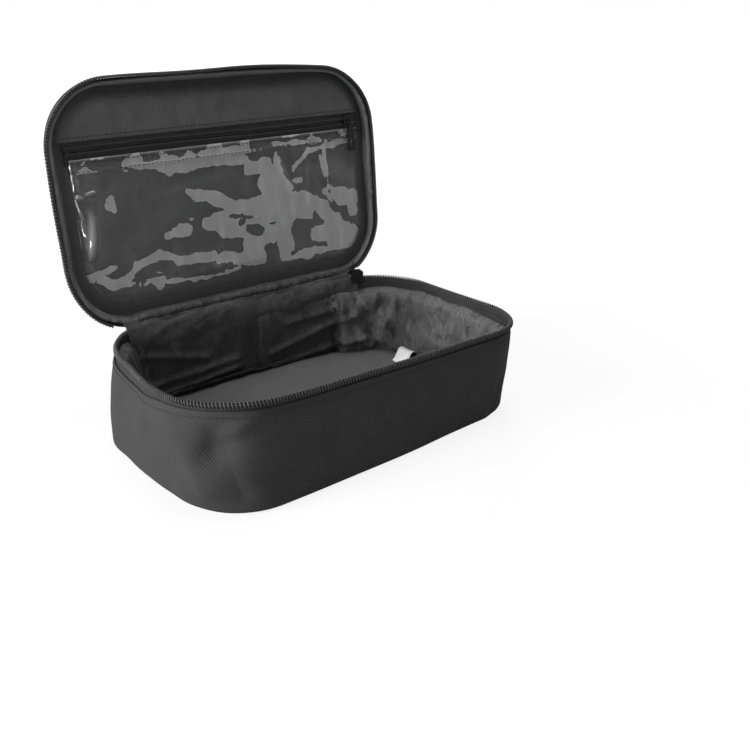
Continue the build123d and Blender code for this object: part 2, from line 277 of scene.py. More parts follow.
def grid(rows, cols):
    """Two arrays of the given row and column values."""
    return np.meshgrid(rows, cols, indexing="ij")


def unit(vectors):
    """The vectors at length 1."""
    return vectors / np.maximum(np.linalg.norm(vectors, axis=-1, keepdims=True), 1e-12)


class Shape:
    """Collects grids of points and makes one mesh object of them."""

    def __init__(self):
        self.points, self.faces, self.uvs, self.values, self.count = [], [], [], [], 0

    def sheet(self, points, uv=None, closed=(False, False), flip=False, value=0.0, fold=0.0):
        """Adds a grid of points. Faces point along rows cross columns. Where a side is closed, its last row
        or column lies on its first. The value and the fold are kept at each point for the material."""
        rows, cols = points.shape[:2]
        kept_rows, kept_cols = rows - closed[0], cols - closed[1]
        shared = (np.arange(rows) % kept_rows)[:, None] * kept_cols + np.arange(cols) % kept_cols
        own = np.arange(rows * cols).reshape(rows, cols)
        if uv is None:
            uv = np.stack(grid(np.arange(rows), np.arange(cols))[::-1], -1) * MM
        quads = [joined(k[:-1, :-1], k[1:, :-1], k[1:, 1:], k[:-1, 1:]).reshape(-1, 4) for k in (shared, own)]
        corners, places = (quad[:, ::-1] if flip else quad for quad in quads)
        self.faces.append(corners + self.count)
        self.uvs.append(uv.reshape(-1, 2)[places.ravel()])
        values = np.stack([np.broadcast_to(kind, (rows, cols)) for kind in (value, fold)])
        self.points.append(points[:kept_rows, :kept_cols].reshape(-1, 3))
        self.values.append(values[:, :kept_rows, :kept_cols].reshape(2, -1))
        self.count += kept_rows * kept_cols
        return self

    def beads(self, centres, along, outward, form):
        """Adds a small closed grid at each centre, turned so that its x runs along and its z outward."""
        along = unit(along)
        outward = unit(outward - along * (outward * along).sum(-1, keepdims=True))
        across = np.cross(outward, along)
        turned = np.einsum("rcx,nxk->nrck", form, np.stack([along, across, outward], 1))
        for bead in turned + centres[:, None, None, :]:
            self.sheet(bead, closed=(False, True))
        return self

    def build(self, name, material):
        """Makes the mesh object, with its UV map in metres and its point values."""
        points, faces = np.concatenate(self.points), np.concatenate(self.faces)
        mesh = bpy.data.meshes.new(name)
        mesh.vertices.add(len(points))
        mesh.vertices.foreach_set("co", points.astype(np.float32).ravel())
        mesh.loops.add(faces.size)
        mesh.loops.foreach_set("vertex_index", faces.astype(np.int32).ravel())
        mesh.polygons.add(len(faces))
        mesh.polygons.foreach_set("loop_start", np.arange(0, faces.size, 4, dtype=np.int32))
        mesh.polygons.foreach_set("use_smooth", np.ones(len(faces), bool))
        mesh.update(calc_edges=True)
        cloth_map = mesh.uv_layers.new(name="cloth")
        cloth_map.data.foreach_set("uv", np.concatenate(self.uvs).astype(np.float32).ravel())
        for kind, values in zip(("shade", "fold"), np.concatenate(self.values, 1).astype(np.float32)):
            if values.any():
                mesh.attributes.new(kind, "FLOAT", "POINT").data.foreach_set("value", values)
        mesh.materials.append(material)
        piece = bpy.data.objects.new(name, mesh)
        bpy.context.scene.collection.objects.link(piece)
        return piece

    def make(self, name, kind, body, *nodes, thickness=None, offset=-1.0):
        """Makes the piece with its finish, its thickness inwards from the faces, and its frame calls."""
        piece = self.build(name, finishes()[kind])
        if thickness:
            wall = piece.modifiers.new("thickness", "SOLIDIFY")
            wall.thickness, wall.offset = thickness, offset
        return settle(piece, kind, body, *nodes)


def settle(piece, kind, body, *nodes):
    """Puts a piece on its body, or bakes its place into its mesh where it spans two, and hides its CAD nodes.
    """
    if isinstance(body, str):
        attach(piece, body)
    else:
        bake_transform(piece)
    if nodes:
        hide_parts(*nodes)
    return piece


def tube(path, beside, radius, sides, closed=False):
    """Round tube: at each point of the path, a circle in the plane of the side direction and of the path
    crossed with it."""
    step = np.roll(path, -1, 0) - np.roll(path, 1, 0)
    if closed:
        step[0] = step[-1] = path[1] - path[-2]
    else:
        step[0], step[-1] = path[1] - path[0], path[-1] - path[-2]
    step = unit(step)
    beside = unit(beside - step * (beside * step).sum(-1, keepdims=True))
    other = np.cross(step, beside)
    angle = np.linspace(0, TAU, sides + 1)[None, :, None]
    radius = np.broadcast_to(radius, len(path))[:, None, None]
    return path[:, None] + radius * (np.cos(angle) * beside[:, None] + np.sin(angle) * other[:, None])


def stitch_form(length, width, height):
    """Half-sunk grain of thread: a ring whose size follows the sine from end to end."""
    share, angle = grid(np.linspace(0.06, 0.94, 4) * math.pi, np.linspace(0, TAU, 7))
    size = np.sin(share) ** 0.6
    return joined(-np.cos(share) * length, np.cos(angle) * size * width, np.sin(angle) * size * height) / 2


class Value:
    """A socket that holds a number, with the operators that add Math nodes."""

    def __init__(self, shader, socket):
        self.shader, self.socket = shader, socket

    def math(self, operation, *others):
        inputs = dict(enumerate([self, *others]))
        return self.shader.value("ShaderNodeMath", {"operation": operation}, inputs)

    def __add__(self, other):
        return self.math("ADD", other)

    def __sub__(self, other):
        return self.math("SUBTRACT", other)

    def __mul__(self, other):
        return self.math("MULTIPLY", other)

    def sin(self):
        return self.math("SINE")

    def size(self):
        return self.math("ABSOLUTE")

    def over(self, other):
        return self.math("MAXIMUM", other)

    def ramp(self, low, high):
        """0 at low, 1 at high, an S curve between."""
        settings = {"interpolation_type": "SMOOTHSTEP"}
        return self.shader.value("ShaderNodeMapRange", settings, {0: self, 1: low, 2: high, 3: 0.0, 4: 1.0})


class Nodes:
    """A node tree. Its node method adds every node that this file makes."""

    def __init__(self, tree):
        self.tree = tree

    def node(self, kind, settings=None, inputs=None):
        """Adds a node, sets it up, then fills or links its inputs."""
        made = self.tree.nodes.new(kind)
        for key, setting in (settings or {}).items():
            setattr(made, key, setting)
        for key, given in (inputs or {}).items():
            self.join(made.inputs[key], given)
        return made

    def join(self, socket, given):
        if isinstance(given, Value):
            given = given.socket
        if isinstance(given, bpy.types.NodeSocket):
            self.tree.links.new(given, socket)
        else:
            socket.default_value = given

    def value(self, kind, settings=None, inputs=None, output=0):
        return Value(self, self.node(kind, settings, inputs).outputs[output])


class Shader(Nodes):
    """One material. Its fixed numbers are set on the Principled node's own sockets."""

    def __init__(self, name, **fixed):
        self.material = bpy.data.materials.new(name)
        self.material.use_nodes = True
        super().__init__(self.material.node_tree)
        self.surface = self.tree.nodes["Principled BSDF"]
        for socket, number in fixed.items():
            title = socket.replace("_", " ").title().replace("Ior", "IOR")
            self.join(self.surface.inputs[title], number)

    def place(self, source="Object"):
        return self.node("ShaderNodeTexCoord").outputs[source]

    def noise(self, size, detail=2.0, vector=None, stretch=(1, 1, 1)):
        """Noise from 0 to 1 whose blotches are about one size in metres."""
        vector = self.place() if vector is None else vector
        scaled = self.node("ShaderNodeMapping", None, {"Vector": vector, "Scale": stretch}).outputs[0]
        inputs = {"Vector": scaled, "Scale": 1 / size, "Detail": detail}
        return self.value("ShaderNodeTexNoise", None, inputs)

    def facets(self, vector, size, slope):
        """Height in metres of cells that each tilt their own way, as creased cloth: the random colour of the
        cell, less a half, times the way from its centre."""
        cell = self.node("ShaderNodeTexVoronoi", None, {"Vector": vector, "Scale": 1 / size}).outputs
        scaled = self.arrow("SCALE", vector, {"Scale": 1 / size})
        way = self.arrow("SUBTRACT", scaled, {1: cell["Position"]})
        lean = self.arrow("SUBTRACT", cell["Color"], {1: (0.5, 0.5, 0.5)})
        height = self.value("ShaderNodeVectorMath", {"operation": "DOT_PRODUCT"}, {0: lean, 1: way}, 1)
        return height * (size * slope)

    def arrow(self, operation, first, others):
        return self.node("ShaderNodeVectorMath", {"operation": operation}, {0: first, **others}).outputs[0]

    def split(self, vector):
        made = self.node("ShaderNodeSeparateXYZ", None, {0: vector})
        return [Value(self, made.outputs[k]) for k in range(3)]

    def kept(self, name):
        """The piece's own value of that name at each point."""
        return self.value("ShaderNodeAttribute", {"attribute_name": name}, output=2)

    def mix(self, share, first, second):
        """Colour between two colours."""
        made = self.node("ShaderNodeMix", {"data_type": "RGBA"})
        for key, given in ((0, share), (6, first), (7, second)):
            if key and not isinstance(given, bpy.types.NodeSocket):
                given = (*given, 1.0)
            self.join(made.inputs[key], given)
        return made.outputs[2]

    def finish(self, colour=None, roughness=None, height=None, depth=1 * MM, strength=1.0, **others):
        """Links what changes over the surface. The height goes through a Bump node."""
        for socket, given in (("Base Color", colour), ("Roughness", roughness), *others.items()):
            if given is not None:
                self.join(self.surface.inputs[socket], given)
        if height is not None:
            inputs = {"Strength": strength, "Distance": depth, "Height": height}
            self.join(self.surface.inputs["Normal"], self.node("ShaderNodeBump", None, inputs).outputs[0])
        return self.material


def tint(colour, times):
    """The colour made lighter or darker."""
    return tuple(min(channel * times, 1.0) for channel in colour)


def woven(name, colour, diagonal, thread, contrast=0.5, bump=0.3 * MM):
    """Outer cloth: diagonal ribs with fine threads across them, paler in soft patches."""
    shader = Shader(name, roughness=0.9, specular_ior_level=0.12)
    across, up, _ = shader.split(shader.place("UV"))
    slant = TAU / diagonal / 2 ** 0.5
    ribs = ((across - up) * slant).sin() * 0.5 + 0.5
    fine = TAU / thread
    threads = (across * fine).sin() * (up * fine).sin() * 0.5 + 0.5
    patches = shader.noise(18 * MM, 3)
    grain = shader.noise(1.1 * MM, 2)
    level = ribs * 0.45 + threads * 0.2 + grain * 0.6
    light = (level - 0.3) * contrast + patches * 0.3
    paint = shader.mix(light.ramp(-0.1, 0.6), tint(colour, 0.6), tint(colour, 1.4))
    return shader.finish(paint, patches * 0.1 + 0.8, level, bump)


def thin_cloth(name, colour, rough=0.5):
    """Lining: fine threads and soft patches, with painted shade where the piece's shade value says so (in
    grooves, on the back wall and at the hinge), and creased into flat-sided cells where the piece says so."""
    shader = Shader(name, specular_ior_level=0.25)
    grain = shader.noise(0.6 * MM, 2)
    patches = shader.noise(35 * MM, 2)
    inputs = {"Vector": shader.place(), "Scale": (1, 1, 0.6)}
    place = shader.node("ShaderNodeMapping", None, inputs).outputs[0]
    soft = shader.node("ShaderNodeTexNoise", None, {"Vector": place, "Scale": 60.0}).outputs["Color"]
    place = shader.arrow("ADD", place, {1: shader.arrow("SCALE", soft, {"Scale": 7 * MM})})
    creased = (shader.facets(place, 16 * MM, 0.42) + shader.facets(place, 6 * MM, 0.8) +
               shader.facets(place, 2.6 * MM, 0.45))
    height = creased * shader.kept("fold") + grain * (0.05 * MM) + patches * (2 * MM)
    paint = shader.mix((patches * 0.5 + grain * 0.4).ramp(0.1, 1.0), tint(colour, 0.78), tint(colour, 1.22))
    # Painted shade: the colour darkens towards three tenths of itself where the shade value is 1
    paint = shader.mix(shader.kept("shade"), paint, tint(colour, 0.3))
    return shader.finish(paint, grain * 0.1 + rough, height, 1.0)


def tape_cloth(name, colour, pitch=0.9 * MM):
    """Zip tape: a herringbone of short slanted threads along the UV map."""
    shader = Shader(name, roughness=0.85, specular_ior_level=0.12)
    across, up, _ = shader.split(shader.place("UV"))
    turn = TAU / pitch
    bend = (up * (turn / 3)).sin().size()
    threads = (across * turn + bend * 3.0).sin() * 0.5 + 0.5
    patches = shader.noise(14 * MM, 3)
    paint = shader.mix((threads * 0.5 + patches * 0.6).ramp(0.1, 0.9), tint(colour, 0.75), tint(colour, 1.4))
    return shader.finish(paint, None, threads + patches, 0.15 * MM)


def moulded(name, colour, rough=0.55):
    """Nylon coil: slightly glossy, scuffed here and there."""
    shader = Shader(name, specular_ior_level=0.3)
    scuffs = shader.noise(4 * MM, 3)
    paint = shader.mix(scuffs.ramp(0.45, 0.8), colour, tint(colour, 1.8))
    return shader.finish(paint, scuffs * 0.2 + rough)


def enamelled(name, colour):
    """Black enamel on cast metal, with fine ripples and paler worn spots."""
    shader = Shader(name, coat_weight=0.4, coat_roughness=0.15, metallic=0.35)
    ripple = shader.noise(1.5 * MM, 2)
    worn = shader.noise(5 * MM, 4).ramp(0.62, 0.78)
    paint = shader.mix(worn * 0.5, colour, tint(colour, 5))
    return shader.finish(paint, ripple * 0.15 + 0.25, ripple, 0.05 * MM)


def ribbed_webbing(name, colour):
    """Webbing: close ribs across the strap and fine chains along it."""
    shader = Shader(name, roughness=0.75, specular_ior_level=0.35)
    along, across, _ = shader.split(shader.place("UV"))
    ribs = (along * (TAU / (1.5 * MM))).sin()
    chains = (across * (TAU / (2 * MM))).sin() * 0.5
    grain = shader.noise(0.7 * MM, 2)
    level = (ribs + chains) * 0.25 + grain
    paint = shader.mix(level.ramp(0.1, 0.95), tint(colour, 0.7), tint(colour, 1.4))
    return shader.finish(paint, None, level, 0.3 * MM)


def clear_film(name, colour, painted_reflection_colour):
    """Clear flexible sheet with painted reflections: pale patches with sharp ragged edges and a painted
    highlight along them. Elsewhere it is nearly unseen. Folds are thicker and so less clear, and are painted
    paler too."""
    shader = Shader(name, specular_ior_level=0.7)
    ragged = (shader.noise(4.5 * MM, 5) - 0.5) * (4 * MM) + (shader.noise(14 * MM, 2) - 0.5) * (6 * MM)
    inside = shader.kept("shade") + ragged
    # Painted reflections: the mask of the pale patches, and a brighter painted rim round them
    pale = inside.ramp(-0.12 * MM, 0.12 * MM)
    border = pale - inside.ramp(0.2 * MM, 0.7 * MM)
    fold = shader.kept("fold")
    haze = shader.noise(16 * MM, 2)
    streaks = shader.noise(9 * MM, 4, stretch=(1, 0.3, 0.3))
    paint = shader.mix(pale.over(fold * 0.5), colour, painted_reflection_colour)
    veil = haze * 0.12 + streaks.ramp(0.45, 0.75) * 0.14 + 0.12
    alpha = pale * 0.3 + border * 0.12 + veil + fold * 0.8
    return shader.finish(paint, haze * 0.05 + 0.04, haze, 0.6 * MM, Alpha=alpha)


def plain_cloth(name, colour, rough=0.7, grain_size=0.8 * MM):
    """Satin or bias tape: fine grain and soft patches."""
    shader = Shader(name, specular_ior_level=0.15)
    grain = shader.noise(grain_size, 2)
    patches = shader.noise(12 * MM, 3)
    paint = shader.mix((patches * 0.7 + grain * 0.3).ramp(0.2, 0.8), tint(colour, 0.82), tint(colour, 1.15))
    return shader.finish(paint, grain * 0.1 + rough, patches * 1.5 + grain * 0.2, 0.35 * MM)


def material(name, maker, *values):
    """The named material, made the first time that it is asked for."""
    return bpy.data.materials.get(name) or maker(name, *values)


def finishes():
    """The bag's materials by short name."""
    sizes, colours = bpy.context.scene.bag_sizes, bpy.context.scene.bag_colours
    makers = {
        "outer": (woven, colours.outer, sizes.weave, 0.7 * MM),
        "lining": (thin_cloth, colours.lining),
        "tape": (tape_cloth, colours.tape),
        "coil": (moulded, colours.coil),
        "trim": (plain_cloth, colours.trim),
        "binding": (thin_cloth, colours.binding),
        "film": (clear_film, colours.film, colours.painted_reflection),
        "enamel": (enamelled, colours.enamel),
        "webbing": (ribbed_webbing, colours.webbing),
        "label": (plain_cloth, colours.label),
        "thread": (moulded, colours.thread, 0.7),
    }
    return {name: material(name, maker, *(tuple(v) if hasattr(v, "__len__") else v for v in values))
            for name, (maker, *values) in makers.items()}


def lobe(run, centre, width):
    """Bell curve round a place on a line, its centre and width in millimetres."""
    return hill(run, centre * MM, width * MM)


def low_end(run):
    """1 at the left end, where the top edge of the outer cloth lies lower."""
    return lobe(run, 208, 40)


# How far the wall's foot, its rim and the lid's edge stand out, as runs and distances in millimetres
FOOT = ((-320, 0), (-250, 0), (-200, 1.5), (-150, 0), (-125, -2), (-110, -4.2), (-95, -5), (-60, -3.5),
        (-20, 0), (30, 2), (70, 3.2), (100, 3.2), (118, 2.4), (135, 0.6), (150, 0.2), (175, 1.2), (200, 0.8),
        (225, -1.2), (250, 0.2), (320, 0))
RIM_OUT = ((-320, 0), (-240, 0), (-160, 0), (-135, 0), (-112, 1.8), (-95, 0.7), (-60, 0), (60, 0), (150, 1),
           (170, 0.8), (190, -1.4), (212, -5.2), (236, -7.4), (262, -5.8), (290, 0), (320, 0))
LID_OUT = ((-320, 0), (-285, -1.2), (-255, -3.2), (-226, -2.6), (-195, -0.8), (-165, -0.4), (-140, -2),
           (-118, -3.2), (-95, -2.6), (-70, -0.6), (-35, 0.8), (30, 1), (75, 0.5), (100, -0.2), (122, -0.3),
           (145, 1.2), (165, 2), (215, 2), (250, 1.9), (270, 1.8), (290, 0.6), (320, 0))

# The bent front left corner, as runs and heights in millimetres: a ridge, and creases with width and size
RIDGE = ((176, 61), (155, 49), (136, 34), (129, 12))
CREASES = (((124, 39), (108, 15), 6, -0.6), ((114, 32), (96, 12), 8, 0.6), ((-106, 24), (-100, 8), 6, -1.8))


def stand_out(run, height, sizes):
    """How far the body's wall stands out from the outline: as measured at the foot and at the rim and shared
    out between them, with a belly between, a ridge with flat flanks, a dent, and creases round it."""
    belly, ridge_size, ridge_round, flank_width = 1.2 * MM, 6 * MM, 1.5 * MM, 20 * MM
    share = np.clip(height / RIM, 0, 1)
    out = sizes.lean * (trace(run, FOOT) * (1 - share) ** 1.3 + trace(run, RIM_OUT) * share ** 1.5)
    out = out + belly * np.sin(share * math.pi) * (1 - lobe(run, -262, 40))
    below_rim = 1 - smooth(height, 50 * MM, 64 * MM)
    away = np.min([away_from(run, height, start, end) for start, end in zip(RIDGE, RIDGE[1:])], 0)
    flank = np.clip(1 - np.hypot(away, ridge_round) / flank_width, 0, 1)
    out = out + ridge_size * flank * below_rim * smooth(height, 0, 22 * MM)
    out = out - sizes.dent * crease(run, height, (124, 39), (120, 43), 9)
    out = out + 2 * MM * crease(run, height, (118, 46), (97, 60), 5) * below_rim
    for start, end, width, size in CREASES:
        out = out + size * MM * crease(run, height, start, end, width)
    return out


def rise(run, sizes):
    """How far the zip line runs above the parting plane, on the body and on the lid alike."""
    return sizes.rim_rise * lobe(run, 110, 42)


def wall_point(run, inset, height, sizes):
    """Point of the body's wall, moved in by the inset."""
    run, inset, height = np.broadcast_arrays(run, inset, height)
    lift = rise(run, sizes) * smooth(height, 10 * MM, 60 * MM)
    return ring(run, inset - stand_out(run, height, sizes), height + lift)


def drawn_in(points, level):
    """Moves the left end of the lid's face in, more the nearer to the face."""
    share = smooth(-points[..., 0], 50 * MM, HALF_WIDTH) * smooth(level, 3 * MM, PIPING_LEVEL)
    return points + share[..., None] * [3 * MM, 0, 0]


def lid_point(run, inset, level, sizes):
    """Point of the shut lid's side: the zip's edge stands out or in as measured, and the side slopes in to
    the face."""
    run, inset, level = np.broadcast_arrays(run, inset, level)
    out = sizes.lean * trace(run, LID_OUT) * (1 - smooth(level, 0, 10 * MM))
    lift = rise(run, sizes) * (1 - smooth(level, 3 * MM, 13 * MM))
    return drawn_in(ring(run, inset - out, level + lift), level)


def cloth_grid(rows, cols, shape, sizes, tall=1.0):
    """Sheet whose points are shape(row, column, sizes), with its UV map in metres along both."""
    row, col = grid(rows, cols)
    return shape(row, col, sizes), joined(col, row * tall)


def coil(shape, half, sizes, point, centre, reach, climb, cord=0.35 * MM):
    """Adds a zip coil: a thin tube round a helix, whose inset and height follow the cosine and the sine of a
    phase that turns once in each pitch, and the cord that runs through it. It goes as far to both sides."""
    turns = round(2 * half / sizes.tooth_pitch)
    phase = np.linspace(0, TAU * turns, turns * 10 + 1)
    along = np.linspace(-half, half, len(phase))
    path = point(along, centre[0] - reach * np.cos(phase), centre[1] + climb * np.sin(phase))
    core = point(along, *centre)
    shape.sheet(tube(path, path - core, sizes.wire, 5), closed=(False, True))
    along = along[::5]
    thread = point(along, centre[0] - 0.3 * reach, centre[1])
    beside = thread - point(along, centre[0] + MM, centre[1])
    return shape.sheet(tube(thread, beside, cord, 6), closed=(False, True))


def turn_to(thing, place, right, up, back):
    """Puts an object in the scene at a place, with its own three axes along the given ones."""
    matrix = Matrix([list(axis) for axis in zip(right, up, back)]).to_4x4()
    matrix.translation = place
    thing.matrix_world = matrix
    bpy.context.scene.collection.objects.link(thing)


class Maker:
    """What the operators that make pieces share: execute hands the sizes to their make method."""

    def execute(self, context):
        self.make(context.scene.bag_sizes)
        return {"FINISHED"}


class BAG_OT_stage(Maker, Operator):
    """Floor, lamps, world and the camera at the photograph's angle"""
    bl_idname = "bag.stage"
    bl_label = "Stage"

    def make(self, sizes):
        scene = bpy.context.scene
        scene.view_settings.view_transform = "Standard"
        self.camera(scene)
        self.floor()
        self.world(scene)
        self.lamps()

    def camera(self, scene):
        """Camera found from the bag's outlines. The way back is (sin a cos e, -cos a cos e, sin e)."""
        azimuth, elevation, roll = math.radians(-40.09), math.radians(22.46), math.radians(0.25)
        focal_pixels, frame_pixels, film_width = 973.7, 750, 36
        back = np.array([math.sin(azimuth) * math.cos(elevation), -math.cos(azimuth) * math.cos(elevation),
                         math.sin(elevation)])
        level = unit(np.cross(-back, [0, 0, 1]))
        upright = np.cross(level, -back)
        data = bpy.data.cameras.new("photo_camera")
        data.lens = focal_pixels / frame_pixels * film_width
        data.sensor_width = film_width
        camera = bpy.data.objects.new("photo_camera", data)
        turn_to(camera, (-0.3625, -0.4931, 0.2863), level * math.cos(roll) + upright * math.sin(roll),
                upright * math.cos(roll) - level * math.sin(roll), back)
        scene.camera = camera

    def floor(self):
        """Square floor that a camera sees as white, fully so away from the bag."""
        size = 6.0
        mesh = bpy.data.meshes.new("floor")
        mesh.from_pydata([(-size, -size, 0), (size, -size, 0), (size, size, 0), (-size, size, 0)], [],
                         [(0, 1, 2, 3)])
        floor = bpy.data.objects.new("floor", mesh)
        bpy.context.scene.collection.objects.link(floor)
        shader = Shader("pale_floor", roughness=0.9)
        shader.finish(shader.mix(shader.noise(0.5), (0.42, 0.42, 0.42), (0.46, 0.46, 0.46)))
        across, along, _ = shader.split(shader.place())
        away = (across * across + along * along).ramp(0.05, 0.6)
        glow = shader.node("ShaderNodeEmission", None, {"Color": (1, 1, 1, 1), "Strength": 1.3})
        rays = shader.node("ShaderNodeLightPath")
        seen, mirrored, passed = (Value(shader, rays.outputs[name])
                                  for name in ("Is Camera Ray", "Is Glossy Ray", "Is Transmission Ray"))
        share = (seen * (away * 0.34 + 0.66)).over(mirrored * 0.35).over(passed * 0.8)
        both = shader.node("ShaderNodeMixShader", None,
                           {0: share, 1: shader.surface.outputs[0], 2: glow.outputs[0]})
        shader.join(shader.tree.nodes["Material Output"].inputs["Surface"], both.outputs[0])
        mesh.materials.append(shader.material)

    def world(self, scene):
        """White to the camera, and a dim white light on the bag."""
        scene.world = bpy.data.worlds.new("studio")
        scene.world.use_nodes = True
        studio = Nodes(scene.world.node_tree)
        dim = studio.tree.nodes["Background"]
        studio.join(dim.inputs["Color"], (1, 1, 1, 1))
        studio.join(dim.inputs["Strength"], 0.16)
        bright = studio.node("ShaderNodeBackground", None, {"Color": (1, 1, 1, 1)})
        rays = studio.node("ShaderNodeLightPath")
        both = studio.node("ShaderNodeMixShader", None,
                           {0: rays.outputs["Is Camera Ray"], 1: dim.outputs[0], 2: bright.outputs[0]})
        studio.join(studio.tree.nodes["World Output"].inputs["Surface"], both.outputs[0])

    def lamps(self):
        """Square lamps that look at the bag's middle. The one in front only makes the film shine."""
        lamps = {"key": ((-1.6, 0.25, 0.85), 0.8, 25.0), "side": ((-1.35, 0.3, 0.14), 0.3, 9.0),
                 "film": ((-1.2, -0.62, 0.13), 0.25, 15.0), "fill": ((-0.4, -2.2, 0.2), 1.2, 6.2),
                 "top": ((0.15, 0.0, 1.9), 0.9, 14.5), "rear": ((1.5, 2.2, 0.8), 1.2, 26.0)}
        for name, (place, size, power) in lamps.items():
            light = bpy.data.lights.new(name, "AREA")
            light.shape, light.size, light.energy = "SQUARE", size, power
            lamp = bpy.data.objects.new(name, light)
            lamp.visible_diffuse = name != "film"
            back = unit(np.array(place) - [0, 0, 0.09])
            right = unit(np.cross([0, 0.02, 1], back))
            turn_to(lamp, place, right, np.cross(back, right), back)


def rolled_foot(share, top):
    """Inset and height of a wall that turns up from the floor on a quarter circle, then goes straight to its
    top, as the share goes from 0 to 1."""
    bend = 0.12
    turn = np.clip(share / bend, 0, 1) * math.pi / 2
    lift = np.clip((share - bend) / (1 - bend), 0, 1)
    height = 0.3 * MM + FOOT_ROLL * (1 - np.cos(turn)) + lift * (top - FOOT_ROLL)
    return FOOT_ROLL * (1 - np.sin(turn)), height


def outer_wall(share, run, sizes):
    """Front and ends, whose top edge wavers and lies lower at the left, puffed out by waves between."""
    over_cad, drop, ripple, ripple_length = 1.2 * MM, 5 * MM, 0.3 * MM, 21 * MM
    top = WALL_TOP + over_cad - drop * low_end(run) + ripple * np.sin(run / ripple_length)
    inset, height = rolled_foot(share, top)
    points = wall_point(run, inset, height, sizes)
    puff = waves(points, 5, 60 * MM) * 0.7 * MM + waves(points, 6, 26 * MM) * 0.3 * MM
    _, normal = outline(run)
    points[..., :2] += normal * (puff * np.sin(np.clip(height / top, 0, 1) * math.pi))[..., None]
    return points


def base_rim(share, run, sizes):
    """Rounded rim of the base, from the wall's foot in to the middles of the corners."""
    inset = FOOT_ROLL + share * (CORNER - FOOT_ROLL - 1 * MM)
    return ring(run, inset - stand_out(run, 0, sizes), 0.3 * MM + 0.5 * MM * smooth(share, 0, 0.2))


def spine(share, run, sizes):
    """Up the back, round the hinge on a small arc, then along the lid's side: the bend's radius times one
    less the cosine and times the sine, and then straight on."""
    wall_share, hinge_share, lid_share = 0.8, 0.83, 0.88
    bend = 1.6 * MM
    inset, height = rolled_foot(np.clip(share / wall_share, 0, 1), WALL_TOP)
    straight = (RIM - 1.2 * MM) - WALL_TOP
    height = height + np.clip((share - wall_share) / (hinge_share - wall_share), 0, 1) * straight
    points = wall_point(run, inset, height, sizes)
    turn = np.clip((share - hinge_share) / (lid_share - hinge_share), 0, 1) * OPEN_ANGLE
    along = np.clip((share - lid_share) / (1 - lid_share), 0, 1) * (LID_TAPE_TOP - bend)
    _, normal = outline(run)
    points[..., :2] += normal * (bend * (1 - np.cos(turn)) + along * np.sin(turn))[..., None]
    points[..., 2] += bend * np.sin(turn) + along * np.cos(turn)
    return points


class BAG_OT_body_cloth(Maker, Operator):
    """Outer cloth of the body: front and ends, base, and the spine, built bent round the hinge up to the open
    lid
    """
    bl_idname = "bag.body_cloth"
    bl_label = "Body cloth"

    def make(self, sizes):
        points, uv = cloth_grid(steps((0, 0.12, 7), (0.12, 1, 54)), np.linspace(-SPINE_RUN, SPINE_RUN, 700),
                                outer_wall, sizes, WALL_TOP)
        Shape().sheet(points, uv).make("wall_cloth", "outer", "body", "side_wall", "wall_padding",
                                       thickness=0.9 * MM)
        rim, _ = cloth_grid(np.linspace(0, 1, 10), np.linspace(*ALL_ROUND, 241), base_rim, sizes)
        base = Shape().sheet(rim, rim[..., :2], closed=(False, True))
        centre = rim[-1:].mean(1, keepdims=True)
        share, _ = grid(np.linspace(1, 0.02, 30), np.zeros(rim.shape[1]))
        middle = centre + (rim[-1:] - centre) * share[..., None]
        base.sheet(middle, middle[..., :2], closed=(False, True))
        base.make("base_cloth", "outer", "body", "base_panel", "base_board")
        rows = steps((0, 0.1, 7), (0.1, 0.8, 30), (0.8, 0.83, 3), (0.83, 0.88, 9), (0.88, 1, 8))
        points, uv = cloth_grid(rows, np.linspace(SPINE_RUN, 2 * HALF_ROUND - SPINE_RUN, 120), spine, sizes,
                                85 * MM)
        Shape().sheet(points, uv).make("spine_cloth", "outer", HINGE_BEND, "spine_panel", "spine_flap",
                                       thickness=0.8 * MM)


def waver(run):
    """How far the zip wanders in and out: a slow sine."""
    return 0.35 * MM * np.sin(run / (17 * MM))


def body_zip(height, run, sizes, inset=1.1 * MM):
    """Point of the zip on the body."""
    return wall_point(run, inset + waver(run) * smooth(height, TAPE_LOW, TAPE_TOP), height, sizes)


def lid_zip(level, run, sizes, inset=None):
    """Point of the zip on the open lid. The tape slopes out from under the piping to the coil."""
    if inset is None:
        inset = 1.1 * MM + 1.6 * MM * smooth(level, 7 * MM, 15 * MM)
    inset = inset + waver(run) * (1 - smooth(level, 3 * MM, LID_TAPE_TOP))
    return opened(lid_point(run, inset, level, sizes))


class BAG_OT_main_zip(Maker, Operator):
    """Tape and coil of the main zip on the body and on the lid"""
    bl_idname = "bag.main_zip"
    bl_label = "Main zip"

    def make(self, sizes):
        points, uv = cloth_grid(np.linspace(TAPE_LOW, TAPE_TOP, 11), np.linspace(*ALL_ROUND, 441), body_zip,
                                sizes)
        Shape().sheet(points, uv, closed=(False, True)).make("body_tape", "tape", "body", "body_zip_tape",
                                                             thickness=0.5 * MM)
        body_end = HALF_ROUND - 94.5 * MM
        turns = coil(Shape(), body_end, sizes, lambda run, inset, level: body_zip(level, run, sizes, inset),
                     (0.1 * MM, RIM - 2.1 * MM), 0.9 * MM, 1.7 * MM)
        turns.make("body_coil", "coil", "body", "body_zip_coil")
        lid_end = HALF_ROUND - 105 * MM
        points, uv = cloth_grid(np.linspace(0.5 * MM, LID_TAPE_TOP + 1.5 * MM, 16),
                                np.linspace(-lid_end - 12 * MM, lid_end + 12 * MM, 400), lid_zip, sizes)
        Shape().sheet(points, uv).make("lid_tape", "tape", "lid", "lid_zip_tape", thickness=0.5 * MM)
        turns = coil(Shape(), lid_end, sizes, lambda run, inset, level: lid_zip(level, run, sizes, inset),
                     (0.5 * MM, COIL_MIDDLE - 0.15 * MM), 0.8 * MM, 1.5 * MM, 0.6 * MM)
        turns.make("lid_coil", "coil", "lid", "lid_zip_coil")


